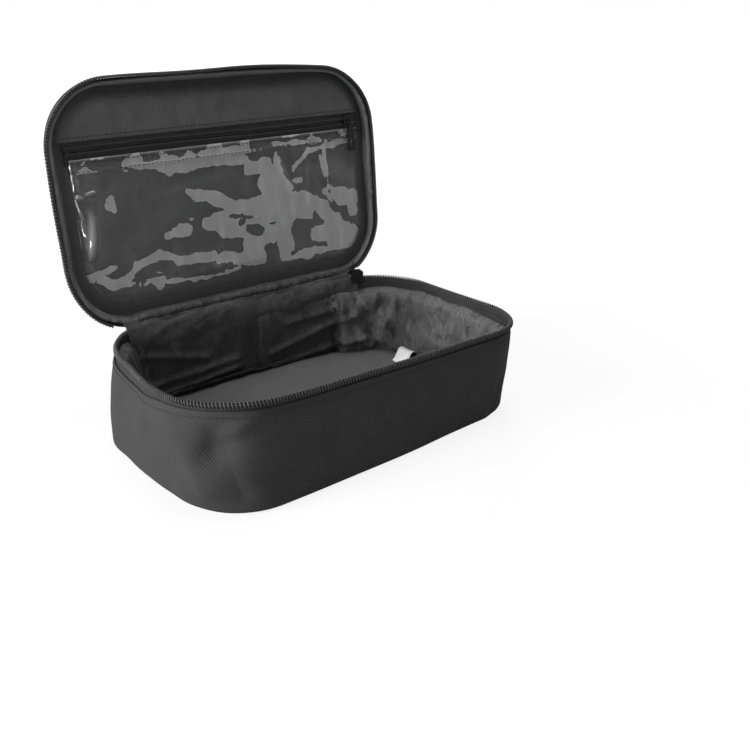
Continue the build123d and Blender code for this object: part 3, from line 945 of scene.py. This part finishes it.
# Long folds of the wall lining near the back: start and end as run and height, and size, in millimetres
LINING_FOLDS = (((262, 12), (366, 21), 3), ((280, 22), (366, 27), 2.2), ((290, 46), (340, 34), 1.6),
                ((-366, 24), (-290, 40), 2.4), ((-364, 13), (-280, 20), 2.6), ((-350, 44), (-300, 46), 1.6))


def wall_lining(share, run, sizes):
    """Lining sewn at its top and foot and crumpled between, calmer at the back, with a lapped seam there. It
    slants in at the back right corner. Its inset is the sum of the facets, the long folds, the slant and the
    seam, less the wall's lean."""
    seam_run, seam_lift, slant = HALF_ROUND + 10 * MM, 1.2 * MM, 6 * MM
    margin, most_lean = 0.5 * MM, 0.3 * MM
    sag = 1.1 * MM * np.sin(run / (19 * MM)) + 0.7 * MM * np.sin(run / (7 * MM) + 1)
    foot = FLOOR + margin
    height = foot + share * (LINING_TOP + margin + sag - foot)
    inset = 3.7 * MM - 1.9 * MM * smooth(share, 0.9, 1)
    slack = np.sin(np.clip(share * 1.04 - 0.02, 0, 1) * math.pi) ** 0.35
    stretched = ring(run, inset, height) * [1, 1, 0.7]
    creased = facets(stretched, 11, 34 * MM, 55) + 0.4 * facets(stretched, 12, 13 * MM, 260)
    at_back = smooth(np.abs(run), np.where(run < 0, 296, 275) * MM, np.where(run < 0, 312, 300) * MM)
    crumple = sizes.crumple * creased * slack * (1 - 0.75 * at_back)
    for start, end, size in LINING_FOLDS:
        crumple = crumple + size * MM * crease(run, height, start, end, 2.6)
    past = np.minimum(np.abs(run - seam_run), np.abs(run + 2 * HALF_ROUND - seam_run))
    seam = seam_lift * smooth(past, 5.3 * MM, 4.7 * MM)
    slanted = slant * lobe(run, -281, 26) * slack
    inward = np.minimum(stand_out(run, height, sizes), most_lean)
    points = ring(run, inset + crumple + slanted + seam - inward, height)
    points[..., 2] += rise(run, sizes) * smooth(height, 10 * MM, 60 * MM)
    return points


def floor_lining(share, across, sizes):
    """Lining on the floor, rippled by waves and lifted towards the back. Rows crowd to front and back."""
    y = (HALF_DEPTH - 5.5 * MM) * np.sin(share * math.pi / 2)
    points = joined(across * half_width(y, 6 * MM), y, 0.0)
    back_lift = 9 * MM
    ripple = 0.9 * MM * waves(points, 21, 70 * MM) + 0.3 * MM * waves(points, 22, 22 * MM)
    points[..., 2] = FLOOR + ripple + back_lift * smooth(y, 30 * MM, 80 * MM)
    return points


def floor_tape(share, run, sizes):
    """A bias tape bent over the floor's seam: it leans in from the wall and rolls over, its edge puckered."""
    inset, tall, back_lift, pucker_size, sway = 3.8 * MM, 5 * MM, 8 * MM, 1.1 * MM, 0.8 * MM
    lean = 2 * MM * np.sin(share * math.pi * 0.8) + 3 * MM * share
    pucker = pucker_size * np.sin(run / (2.6 * MM) + 2.5 * np.sin(run / (23 * MM))) * share
    back = back_lift * smooth(np.abs(run), 235 * MM, 290 * MM)
    height = FLOOR + 0.3 * MM + back + share * tall + sway * np.sin(run / (27 * MM)) * share
    away = np.minimum(stand_out(run, height, sizes), 0)
    soft = 0.5 * MM * waves(ring(run, 0, 0), 23, 14 * MM)
    return ring(run, inset + lean + pucker + soft - away, height)


class BAG_OT_body_lining(Maker, Operator):
    """Crumpled wall lining, floor lining, the bias tape round the floor and the blank label"""
    bl_idname = "bag.body_lining"
    bl_label = "Body lining"

    def make(self, sizes):
        tall, thin = 55 * MM, 0.3 * MM
        points, uv = cloth_grid(np.linspace(0, 1, 46), np.linspace(*ALL_ROUND, 801), wall_lining, sizes, tall)
        run = uv[..., 0]
        at_back = smooth(np.abs(run), np.where(run < 0, 302, 270) * MM, np.where(run < 0, 312, 300) * MM)
        # Painted shade on the back part of the wall lining, where its creases are also calmer
        lining = Shape().sheet(points, uv, closed=(False, True), flip=True, value=0.62 * at_back,
                               fold=1 - 0.6 * at_back)
        lining = lining.make("wall_lining_cloth", "lining", "body", "wall_lining", thickness=thin)
        points, _ = cloth_grid(np.linspace(-1, 1, 90), np.linspace(-1, 1, 130), floor_lining, sizes)
        lining = Shape().sheet(points, points[..., :2], flip=True)
        lining = lining.make("floor_lining", "lining", "body", "base_lining", thickness=thin)
        points, uv = cloth_grid(np.linspace(0, 1, 9), np.linspace(*ALL_ROUND, 700), floor_tape, sizes, 8 * MM)
        Shape().sheet(points, uv, closed=(False, True), flip=True).make(
            "floor_binding", "trim", "body", "base_binding", thickness=0.9 * MM)
        self.label()

    def label(self):
        """A ribbon that leans in from the seam and turns up at its end in an S."""
        length, width = 15 * MM, 16 * MM
        share, across = grid(np.linspace(0, 1, 24), np.linspace(-1, 1, 10))
        reach, half = share * length, across * (width - 1 * MM) / 2
        ribbon = joined(HALF_WIDTH - 7 * MM - reach + 1.2 * MM * across ** 2,
                        37 * MM + half + 2 * MM * share + 1.5 * MM * np.sin(share * 5),
                        FLOOR + 7 * MM + 3 * MM * np.sin(share * 4.4) - 3.2 * MM * share)
        piece = Shape().sheet(ribbon, joined(reach, half)).make(
            "label", "label", "body", "care_label", thickness=0.3 * MM, offset=0)


# Folds of the clear film by its left end: start, end, width and height in millimetres on the shut lid
FILM_FOLDS = (((-114.5, -7), (-111.5, 6), 1.5, 1.7), ((-112.8, 8), (-111.8, 20), 1.3, 1.4),
              ((-114, -9), (-110.5, -8), 1.7, 2), ((-107, -9.5), (-101, -10.5), 1.6, 1.8))

# Faint pale strokes painted on the film as soft reflections: start, end, width in millimetres, and strength
FILM_VEILS = (((88, -6), (106, 4), 9, 0.3), ((-104, -20), (-104, 30), 7, 0.22),
              ((-86, 34), (-78, 40), 6, 0.15), ((-20, 51), (-5, 52), 3, 0.25), ((42, -14), (50, 6), 3, 0.3),
              ((-89, -14), (-89, 8), 4, 0.12), ((66, -18), (66, -6), 5, 0.12), ((-60, -3), (0, -12), 3, 0.1))

# Pale patches painted on the film as reflections: strokes from one place to another with a radius, in
# millimetres on the shut lid
PATCHES = (
    (-70, -24.5, -50, -22, 3), (-50, -21.5, -28, -20, 5), (-28, -20.5, -5, -22, 4.5),
    (-5, -22, 12, -19, 4.5), (-30, -26, 8, -26, 2.5), (16, -13, 30, -12, 5), (30, -13, 34, 0, 6.5),
    (34, 0, 40, 12, 11), (-34, -2.5, -28, 0, 2.2), (-28, 1, -16, 2, 3.5), (-16, 3, 0, 12, 5),
    (0, 13, 20, 16, 6), (-21, 21.5, -5, 20, 6), (-10, 26, 20, 28, 7.5), (20, 20, 58, 22, 13),
    (60, 16, 76, 22, 6), (76, 24, 88, 36, 6), (86, 36, 104, 50, 8), (80, 12, 92, 20, 2.5),
    (92, 17, 108, 20, 6.5), (104, 18, 106, 30, 5), (40, -16, 41, -6, 3), (40, 38, 42, 50, 8),
    (42, 53, 60, 57, 2.5), (60, 56, 100, 54, 4), (72, 43, 100, 49, 6.5), (-116, 43, -106, 42, 2.2),
    (-106, 42, -94, 39.5, 1.4), (-106, 44, -99, 50, 2.4), (-99, 50, -88, 49, 2.4), (-88, 49, -78, 42, 2.6),
    (-78, 41, -62, 36, 3.2), (-62, 36.5, -48, 41, 3.2), (-48, 43, -20, 43.5, 3.6), (-14, 47, 8, 50, 5.5),
    (8, 48, 18, 50, 7), (10, 42, 30, 38, 6), (-98, 52, -80, 52.5, 1.3), (-79.5, 54, -79, 55, 2.2),
    (-78, 56, -70, 52, 1), (-66, 52.5, -64, 54.5, 4), (-60, 56, -45, 56.5, 0.7), (-45, 56.5, -28, 58, 0.8),
    (-28, 58, -12, 58, 0.8), (-12, 58, -1, 56, 1.6), (-52, 25, -46, 24, 2.4), (-46, 23.5, -38, 23, 3.8),
    (-94, 0, -89, 2.5, 1.5), (-91, -4, -89, 1, 1.8), (-34, 16.5, -32.5, 16.5, 1), (-78, -21, -76, -21, 0.7),
    (40, -27, 70, -26, 1.6), (40, -20, 40, -8, 1.4), (40, -8, 50, 6, 2), (54, 0, 58, 0, 2.6),
    (53, -10, 53, 0, 1.1), (54, -9, 68, -19, 1), (68, -19, 84, -21, 1.6), (84, -21, 110, -23, 1.8),
    (83, -19, 84, 8, 1.3), (78, -15, 82, 4, 1), (84, 8, 90, 16, 2),)

# Strokes that are cut out of the patches again
HOLLOWS = (
    (11, 30, 20, 32, 3.6), (5, 24, 6, 24, 1.6), (53, 33, 66, 36, 4.2), (62, 40, 62, 48, 3.6),
    (47, 54, 58, 50.5, 1.8), (62, 49, 78, 51.5, 1.7), (88, 22, 104, 38, 1.8), (84, 12, 88, 20, 0.8),
    (-10, 37, 1, 42, 3.6), (26, 46, 26, 60, 3.6), (-75, 49, -8, 54, 2.5), (-96, 46, -90, 42, 1.6),
    (6, 20, 24, 25, 0.5), (-4, 19, 6, 19, 0.5), (88, 20, 100, 34, 0.4), (26, 29, 34, 29, 0.5),)


def haze(x, y):
    """How far, in metres, a place is inside the pale patches that are painted on as reflections: the most
    that it is inside any stroke, and no more than it is outside the hollows."""
    def reach(strokes):
        return np.max([radius * MM - away_from(x, y, ends[:2], ends[2:]) for *ends, radius in strokes], 0)

    ragged = 0.7 * MM * waves(joined(x, y, 0), 81, 9 * MM)
    return np.minimum(reach(PATCHES) + ragged, -reach(HOLLOWS) - ragged)


def flat_sheet(inset, rows, cols, low=-1.0, high=1.0):
    """Level sheet with rounded corners: each row is as wide as the outline, moved in, is there."""
    share, across = grid(np.linspace(low, high, rows), np.linspace(-1, 1, cols))
    y = share * (HALF_DEPTH - inset)
    return joined(across * half_width(y, inset), y, 0.0)


def to_edge(points, inset):
    """Distance from points of a rounded sheet to its edge: to the corner's circle or to the nearer side."""
    x, y = np.abs(points[..., 0]), np.abs(points[..., 1])
    round_part = CORNER - inset - np.hypot(np.clip(x - FRONT_RUN, 0, None), np.clip(y - SIDE_RUN, 0, None))
    in_corner = (x > FRONT_RUN) & (y > SIDE_RUN)
    return np.where(in_corner, round_part, np.minimum(HALF_WIDTH - inset - x, HALF_DEPTH - inset - y))


def zip_across(sizes, names, zip_y, half, end, counts, tape, flip_side, *coil_at):
    """Zip straight across the lid. On each side of its middle is a coil, and a tape whose inset from the
    middle and level are tape(share, x, side)."""
    tapes, coils = Shape(), Shape()
    for side in (-1, 1):
        def place(run, inset, level):
            return opened(joined(run, zip_y + side * inset, level))
        share, x = grid(np.linspace(0, 1, counts[0]), np.linspace(-end, end, counts[1]))
        inset, level = tape(share, x, side)
        points = place(x, inset, level)
        tapes.sheet(points, joined(x, zip_y + side * inset), flip=side == flip_side)
        coil(coils, half, sizes, place, *coil_at)
    tapes.make(names[0], "tape", "lid", names[1], thickness=0.4 * MM)
    coils.make(names[2], "coil", "lid", names[3])


def inner_tape(share, x, side):
    """Its edge rolls over the coil, a row of stitches draws it in, and the slit between the two bows."""
    roll = 1.3 * MM * hill(share, 0.2, 0.12) + 0.9 * MM * hill(share, 0.66, 0.09)
    bow = 0.6 * MM * np.sin(x / (37 * MM))
    return (0.35 * MM + share * 8 * MM + side * bow * (1 - share),
            7.6 * MM - roll + 1.4 * MM * (1 - smooth(share, 0, 0.07)))


def pocket_tape(share, x, side):
    """Flat, and a little lower away from the coil."""
    return 1.2 * MM + share * 8 * MM, FACE_LEVEL - 1.1 * MM - 0.3 * MM * share


class BAG_OT_lid_inside(Maker, Operator):
    """Inside of the lid: lining, bias tape, strip, inner zip and the clear pocket"""
    bl_idname = "bag.lid_inside"
    bl_label = "Lid inside"

    def make(self, sizes):
        self.lining()
        self.binding(sizes)
        self.strip()
        zip_across(sizes, ("inner_zip_cloth", "inner_zip_tape", "inner_coils", "inner_zip_coil"),
                   INNER_ZIP_Y, INNER_HALF, INNER_HALF + 3 * MM, (22, 110), inner_tape, -1,
                   (2.2 * MM, 9.1 * MM), 1.2 * MM, 0.5 * MM)
        self.film()
        self.hem()
        self.bridge()

    def lining(self):
        """Level lining with soft folds, with painted shade in the groove by its edge."""
        inset, fold_size = 2.2 * MM, 0.5 * MM
        points = flat_sheet(inset, 90, 120)
        points[..., 2] = LINING_LEVEL - 0.1 * MM - fold_size * folds(points, 31, 60 * MM)
        # Painted shade in the groove between the bias tape and the film
        painted_edge_shade = 0.8 * (1 - smooth(to_edge(points, inset), 7 * MM, 16 * MM))
        made = Shape().sheet(opened(points), points[..., :2], value=painted_edge_shade)
        made = made.make("lid_lining_cloth", "lining", "lid", "lid_lining", thickness=0.3 * MM)

    def binding(self, sizes):
        """Bias tape round the lid's inside: half an oval that bulges in from the zip's tape, wider and more
        puckered at the right and along the hinge, where its two ends lap."""
        share, run = grid(np.linspace(0, 1, 17), np.linspace(*ALL_ROUND, 900))
        place = ring(run, 0, 0)
        back = smooth(np.abs(run), 0.26, 0.31)
        width = 3 + 1.3 * lobe(run, 205, 60) + 1.8 * lobe(run, -190, 70) + 3 * back
        lap = smooth(run, -0.3675, -0.3670) * (1 - smooth(run, -0.3525, -0.3520))
        loose = np.clip(width - 3.5, 0, 2)
        pucker = 0.25 * waves(place, 41, 16 * MM) + 0.25 * loose * waves(place, 42, 5 * MM)
        turn = math.pi * np.clip(share / 0.8, 0, 1)
        bulge = ((width + 0.4 * lap) * (1 - np.cos(turn)) / 2 + pucker * np.sin(turn)) * MM
        crest = 3.2 + 0.8 * lobe(run, 205, 70) + 0.6 * back + 0.8 * lap
        crest = (crest + 0.3 * loose * waves(place, 46, 7 * MM)) * (1 - 0.55 * lobe(run, -290, 9))
        level = 5.6 - crest * np.sin(turn) ** 0.8 + 4 * np.clip(share / 0.2 - 4, 0, 1)
        level = (level + 0.25 * waves(place, 43, 30 * MM)) * MM
        points = opened(lid_point(run, 1.7 * MM + bulge, level, sizes))
        # Painted shade along the hinge, where the tape's two ends lap
        made = Shape().sheet(points, joined(run, share * 9 * MM), closed=(False, True), flip=True,
                             value=0.75 * back, fold=0.1 + 0.3 * loose)
        made.make("lid_binding_tape", "binding", "lid", "lid_binding", thickness=0.4 * MM)

    def strip(self):
        """Lining strip above the inner zip, with its edge turned up to the lining, and painted shade along
        that edge.
        """
        inset = 3.4 * MM
        high = (INNER_ZIP_Y - 6 * MM) / (HALF_DEPTH - inset)
        points = flat_sheet(inset, 40, 150, high=high)
        from_edge = to_edge(points, inset)
        slack = smooth(from_edge, 5 * MM, 18 * MM) * smooth(high * HALF_DEPTH - points[..., 1], 0, 8 * MM)
        soft = 0.9 * MM * waves(points, 51, 60 * MM) + 0.3 * MM * waves(points, 52, 17 * MM)
        drop = smooth(from_edge, -1 * MM, 11 * MM) * (LINING_LEVEL - FILM_LEVEL - 0.2 * MM)
        points[..., 2] = LINING_LEVEL - 0.3 * MM - drop + soft * slack
        # Painted shade along the strip's edge
        painted_edge_shade = 0.85 * (1 - smooth(from_edge, 4 * MM, 15 * MM))
        made = Shape().sheet(opened(points), points[..., :2], value=painted_edge_shade, fold=0.16)
        made = made.make("lid_strip", "lining", "lid", "inner_strip", thickness=0.4 * MM)

    def film(self):
        """Clear pocket front: it rises from the lining on a quarter circle round its edge and swells in
        waves between. By its left end it is folded over, and small folds run out from there."""
        inset, edge_radius, deep, fold_size, fold_x = 14 * MM, 8 * MM, 37 * MM, 5 * MM, -106.8 * MM
        points = flat_sheet(inset, 150, 260, FILM_TOP_Y / (HALF_DEPTH - inset))
        x, y = points[..., 0], points[..., 1]
        edge = to_edge(points, inset)
        drop = quarter_circle(edge / edge_radius)
        loose = smooth(edge, 2 * MM, 16 * MM) * smooth(y, FILM_TOP_Y, FILM_TOP_Y + 16 * MM)
        swell = waves(points, 61, 75 * MM) * 1.1 * MM + waves(points, 62, 30 * MM) * 0.4 * MM
        share = np.clip((y + 3 * MM) / deep, 0, 1)
        size = fold_size * np.sin(math.pi * share ** 1.3) ** 0.7 + 1e-6
        past = x - fold_x + 5.2 * MM * share ** 1.6
        over = np.where(past < 0, np.clip(1 + past / size, 0, 1), 1 - smooth(past, 0, 8 * MM))
        folded = 0.84 * size * over
        for start, end, width, height in FILM_FOLDS:
            folded = np.maximum(folded, height * MM * crease(x, y, start, end, width))
        veil = np.max([strength * crease(x, y, start, end, width)
                       for start, end, width, strength in FILM_VEILS], 0)
        points[..., 2] = LINING_LEVEL - drop * (LINING_LEVEL - FILM_LEVEL) + swell * loose - folded
        # The shade value places the painted reflections; the fold value holds the folds and the painted soft
        # reflections of the veils
        made = Shape().sheet(opened(points), points[..., :2], value=haze(x, y),
                             fold=np.maximum(veil, np.clip(folded / (3 * MM), 0, 1)))
        made = made.make("clear_film", "film", "lid", "window_film", thickness=0.25 * MM)

    def hem(self):
        """Hem of the film along the inner zip: a shallow arch, folded at its edge, with a painted highlight
        along that edge and painted reflections on it.
        """
        half, tall = 115 * MM, 9 * MM
        share, x = grid(np.linspace(0, 1, 10), np.linspace(-half, half, 240))
        y = FILM_TOP_Y - 0.8 * MM + share * tall
        level = FILM_LEVEL - 0.35 * MM - 0.35 * MM * np.sin(share * math.pi) - 0.5 * MM * hill(share, 0, 0.1)
        level = level + 0.2 * MM * waves(joined(x, y, 0), 71, 20 * MM)
        # Painted reflections, as on the film
        value = np.maximum(haze(x, y), 2.4 * MM * waves(joined(x, 2.5 * y, 0), 72, 22 * MM) - MM)
        # Painted highlights along the folded edge and near the far edge
        bright = hill(share, 0.02, 0.06) + 0.5 * hill(share, 0.85, 0.06)
        made = Shape().sheet(opened(joined(x, y, level)), joined(x, y), value=value, fold=bright)
        made.make("film_hem_fold", "film", "lid", "film_hem", thickness=0.3 * MM)

    def bridge(self):
        """Lining that crosses the hinge: a quadratic curve from the wall lining's top up to the lid's bias
        tape, gathered into folds that spread from its ends."""
        half, tall = 99 * MM, 20 * MM
        share, x = grid(np.linspace(0, 1, 26), np.linspace(-half, half, 260))
        run, t = HALF_ROUND - x, share[..., None]
        low = ring(run, 3 * MM, 47 * MM + 1.5 * MM * np.sin(x / (13 * MM)))
        top = opened(ring(run, 4 * MM, 5.5 * MM))
        turn = (low + top) / 2 + np.array([0, -7, 9]) * MM
        points = low * (1 - t) ** 2 + turn * (2 * t * (1 - t)) + top * t ** 2
        flat = joined(x * 0.4, share * tall + 0.1 * x, 0)
        gather = (2 * facets(flat, 45, 11 * MM, 60) + facets(flat, 46, 5 * MM, 160)) / 9
        points[..., 1] -= gather * np.sin(share * math.pi) ** 0.7
        # Painted shade over the whole piece
        made = Shape().sheet(points, joined(x, share * tall), value=0.55, fold=0.3)
        made = made.make("hinge_lining", "lining", HINGE_BEND, thickness=0.3 * MM)


class BAG_OT_lid_face(Maker, Operator):
    """Outside of the lid: piping, padded panels and the outside pocket's zip"""
    bl_idname = "bag.lid_face"
    bl_label = "Lid face"

    def make(self, sizes):
        self.piping(sizes)
        window, end = 7.5 * MM, POCKET_HALF + 2 * MM
        self.pad("upper_pad", POCKET_ZIP_Y + window, HALF_DEPTH - PAD_INSET, sizes,
                 ("lid_upper_panel", "lid_foam", "pocket_lining"))
        self.pad("lower_pad", PAD_INSET - HALF_DEPTH, POCKET_ZIP_Y - window, sizes, ("lid_lower_panel",))
        zip_across(sizes, ("pocket_zip_cloth", "pocket_zip_tape", "pocket_coils", "pocket_zip_coil"),
                   POCKET_ZIP_Y, POCKET_HALF, end + 2 * MM, (12, 100), pocket_tape, 1,
                   (2.3 * MM, FACE_LEVEL - 0.3 * MM), 1.0 * MM, 0.45 * MM)
        self.tabs(window, end)

    def piping(self, sizes):
        """Cord round the lid's face, a little uneven in its radius."""
        run = np.linspace(*ALL_ROUND, 481)
        middle = lid_point(run, 2.2 * MM, PIPING_LEVEL, sizes)
        _, normal = outline(run)
        radius = PIPING_RADIUS * (1 + 0.05 * waves(middle, 91, 12 * MM))
        cord = tube(middle, joined(*normal.T, 0), radius, 14, closed=True)
        uv = joined(*grid(run, np.linspace(0, 11 * MM, 15)))
        Shape().sheet(opened(cord), uv, closed=(True, True), flip=True).make(
            "piping", "trim", "lid", "lid_piping")

    def pad(self, name, low, high, sizes, nodes):
        """Closed padded panel: two sheets that meet round their edge on a quarter circle, swollen as cloth
        round stuffing."""
        thickness, middle, edge_radius = 7 * MM, 1.2 * MM, 2.5 * MM
        v, u = grid(np.linspace(-1, 1, 60), np.linspace(-1, 1, 120))
        y = (low + high) / 2 + v * (high - low) / 2
        half = half_width(y, PAD_INSET)
        edge = np.minimum((1 - np.abs(u)) * half, (1 - np.abs(v)) * (high - low) / 2)
        round_off = quarter_circle(edge / edge_radius)
        shape = Shape()
        for reach, flip in ((middle, True), (middle - thickness, False)):
            points = drawn_in(joined(u * half, y, FACE_LEVEL - middle + reach * round_off), FACE_LEVEL)
            shape.sheet(opened(points), joined(u * half, y), flip=flip)
        piece = shape.build(name, finishes()["outer"])
        self.swell(piece, sizes.dome)
        settle(piece, "outer", "lid", *nodes)

    def swell(self, piece, most):
        """Blows the closed panel up with a short cloth simulation, and caps how far a point may move. The
        foam holds its inner side flat, so a point moves in by a tenth only."""
        self.apply(piece, "WELD", merge_threshold=0.05 * MM)
        self.apply(piece, "REMESH", mode="VOXEL", voxel_size=3.2 * MM, use_smooth_shade=True)
        before = self.points(piece)
        cloth = piece.modifiers.new("swell", "CLOTH")
        cloth.settings.use_pressure = True
        cloth.settings.uniform_pressure_force = 4
        cloth.settings.effector_weights.gravity = 0
        for number in range(1, 21):
            bpy.context.scene.frame_set(number)
        self.apply(piece)
        bpy.context.scene.frame_set(1)
        moved = self.points(piece) - before
        size = np.linalg.norm(moved, axis=1, keepdims=True)
        moved *= most * np.tanh(size / most) / np.maximum(size, 1e-9)
        inward = np.subtract(*opened(np.array([[0, 0, -1.0], [0, 0, 0]])))
        moved -= 0.9 * np.clip(moved @ inward, 0, None)[:, None] * inward
        piece.data.vertices.foreach_set("co", (before + moved).astype(np.float32).ravel())
        self.apply(piece, "SUBSURF", levels=1, render_levels=1)

    def points(self, piece):
        """The mesh's points as rows."""
        flat = np.zeros(len(piece.data.vertices) * 3, np.float32)
        piece.data.vertices.foreach_get("co", flat)
        return flat.reshape(-1, 3).astype(float)

    def apply(self, piece, kind=None, **settings):
        """Bakes the modifiers into the mesh, with one more of the kind where one is given."""
        if kind:
            added = piece.modifiers.new(kind.lower(), kind)
            for name, setting in settings.items():
                setattr(added, name, setting)
        finished = piece.evaluated_get(bpy.context.evaluated_depsgraph_get())
        mesh = bpy.data.meshes.new_from_object(finished)
        piece.modifiers.clear()
        piece.data = mesh
        mesh.polygons.foreach_set("use_smooth", np.ones(len(mesh.polygons), bool))

    def tabs(self, window, end):
        """Cloth that covers the ends of the pocket's zip, bent down to the tapes by a cube."""
        tabs = Shape()
        for side in (-1, 1):
            v, u = grid(np.linspace(-1, 1, 14), np.linspace(0, 1, 16))
            y = POCKET_ZIP_Y + v * window
            x = side * (end + u * (half_width(y, PAD_INSET) - end))
            points = drawn_in(joined(x, y, FACE_LEVEL - 0.2 * MM - 0.9 * MM * np.abs(v) ** 3), FACE_LEVEL)
            tabs.sheet(opened(points), joined(x, y), flip=side > 0)
        tabs.make("pocket_tabs", "outer", "lid", "pocket_end_tabs", thickness=0.8 * MM)


def smooth_path(knots, count):
    """Smooth curve through the knots: each stretch is a cubic of its four nearest knots."""
    padded = np.concatenate([2 * knots[:1] - knots[1:2], knots, 2 * knots[-1:] - knots[-2:-1]])
    share = np.linspace(0, len(knots) - 1 - 1e-9, count)
    cell = share.astype(int)
    t = (share - cell)[:, None]
    a, b, c, d = (padded[cell + k] for k in range(4))
    return b + 0.5 * t * (c - a + t * (2 * a - 5 * b + 4 * c - d + t * (3 * (b - c) + d - a)))


class BAG_OT_handle(Maker, Operator):
    """Webbing handle: a twisted arch between two sewn ends, which bends where it leaves the spine"""
    bl_idname = "bag.handle"
    bl_label = "Handle"

    def make(self, sizes):
        """Sweeps a flat oval, whose sides are powers of the cosine and the sine, along the arch."""
        width, thick = 20 * MM, 1.5 * MM
        knots = np.array([(-78, 0), (-66, 0), (-58, 12), (-40, 25), (-18, 37), (-4, 37), (16, 27), (36, 18),
                          (44, 11), (51, 0), (63, 0)]) * MM
        curve = smooth_path(knots, 150)
        twist = 0.5 * lobe(curve[:, :1], -48, 12) - 0.25 * lobe(curve[:, :1], 26, 14)
        step = unit(np.gradient(curve, axis=0))
        angle = np.linspace(0, TAU, 25)
        flat = np.sign(np.cos(angle)) * np.abs(np.cos(angle)) ** 0.25 * width / 2
        high = np.sign(np.sin(angle)) * np.abs(np.sin(angle)) ** 0.5 * thick / 2
        sideways = high * np.cos(twist) - flat * np.sin(twist)
        points = joined(curve[:, :1] - step[:, 1:] * sideways,
                        HALF_DEPTH + 0.9 * MM + curve[:, 1:] + step[:, :1] * sideways,
                        HANDLE_Z + flat * np.cos(twist) + high * np.sin(twist))
        length = np.concatenate([[0], np.cumsum(np.linalg.norm(np.diff(curve, axis=0), axis=1))])
        bend = ("body", "handle", (0, HALF_DEPTH + 1.5 * MM, HANDLE_Z), (0, HALF_DEPTH + 20 * MM, HANDLE_Z))
        Shape().sheet(points, joined(length[:, None], flat), closed=(False, True)).make(
            "handle_webbing", "webbing", bend, "handle_strap", "handle_tabs")


class BAG_OT_stitching(Maker, Operator):
    """Rows of stitches on the walls, the strip and the film"""
    bl_idname = "bag.stitching"
    bl_label = "Stitching"

    def make(self, sizes):
        form = stitch_form(sizes.stitch_pitch * 0.72, 0.55 * MM, 0.5 * MM)

        def row(shape, half, place, outward):
            """Adds a row of stitches along place(run), with its outward way at each run."""
            run = np.linspace(-half, half, round(2 * half / sizes.stitch_pitch))
            centres, along = place(run), place(run + 0.5 * MM) - place(run - 0.5 * MM)
            shape.beads(centres, along, np.broadcast_to(outward(run), centres.shape), form)

        body = Shape()
        for height, inset, side, drop in ((WALL_TOP - 2.5 * MM, -0.15 * MM, 1, 4 * MM),
                                          (WALL_TOP + 1.2 * MM, 1.75 * MM, -1, 0)):
            row(body, SPINE_RUN, lambda run: wall_point(run, inset, height - drop * low_end(run), sizes),
                lambda run: side * joined(*outline(run)[1].T, 0))
        body.make("wall_stitches", "thread", "body")
        lid = Shape()
        inward = np.subtract(*opened(np.array([[0, 0, -1.0], [0, 0, 0]])))
        for half, y, level in ((116, INNER_ZIP_Y - 8.4 * MM, 6.1), (113, FILM_TOP_Y + 1.5 * MM, 5.45),
                               (113, FILM_TOP_Y + 7 * MM, 5.5)):
            row(lid, half * MM, lambda run: opened(joined(run, y, level * MM)), lambda run: inward)
        lid.make("lid_stitches", "thread", "lid")


class BAG_OT_hardware(Maker, Operator):
    """Sliders, pulls and end stops: the CAD parts with their finishes"""
    bl_idname = "bag.hardware"
    bl_label = "Sliders and pulls"

    def make(self, sizes):
        for zip_name, stops in (("main", "body"), ("pocket", "pocket"), ("inner", "inner")):
            for node, finish in ((zip_name + "_slider", "enamel"), (zip_name + "_pull", "enamel"),
                                 (stops + "_zip_stops", "thread")):
                materials = frame["nodes"][node].data.materials
                materials.clear()
                materials.append(finishes()[finish])


OPERATORS = (BAG_OT_stage, BAG_OT_body_cloth, BAG_OT_main_zip, BAG_OT_body_lining, BAG_OT_lid_inside,
             BAG_OT_lid_face, BAG_OT_handle, BAG_OT_stitching, BAG_OT_hardware)


class BAG_PT_panel(Panel):
    """Lists the bag's sizes, colours and pieces"""
    bl_idname = "BAG_PT_panel"
    bl_label = "Toiletry bag"
    bl_space_type = "VIEW_3D"
    bl_region_type = "UI"
    bl_category = "Bag"

    def draw(self, context):
        for group in (context.scene.bag_sizes, context.scene.bag_colours):
            for name in group.__annotations__:
                self.layout.prop(group, name)
        for operator in OPERATORS:
            self.layout.operator(operator.bl_idname)


CLASSES = (Sizes, Colours, *OPERATORS, BAG_PT_panel)


def register():
    for kind in CLASSES:
        bpy.utils.register_class(kind)
    bpy.types.Scene.bag_sizes = PointerProperty(type=Sizes)
    bpy.types.Scene.bag_colours = PointerProperty(type=Colours)


def unregister():
    del bpy.types.Scene.bag_sizes
    del bpy.types.Scene.bag_colours
    for kind in reversed(CLASSES):
        bpy.utils.unregister_class(kind)


def main():
    register()
    for operator in OPERATORS:
        area, _, name = operator.bl_idname.partition(".")
        getattr(getattr(bpy.ops, area), name)()


if __name__ == "__main__":
    main()
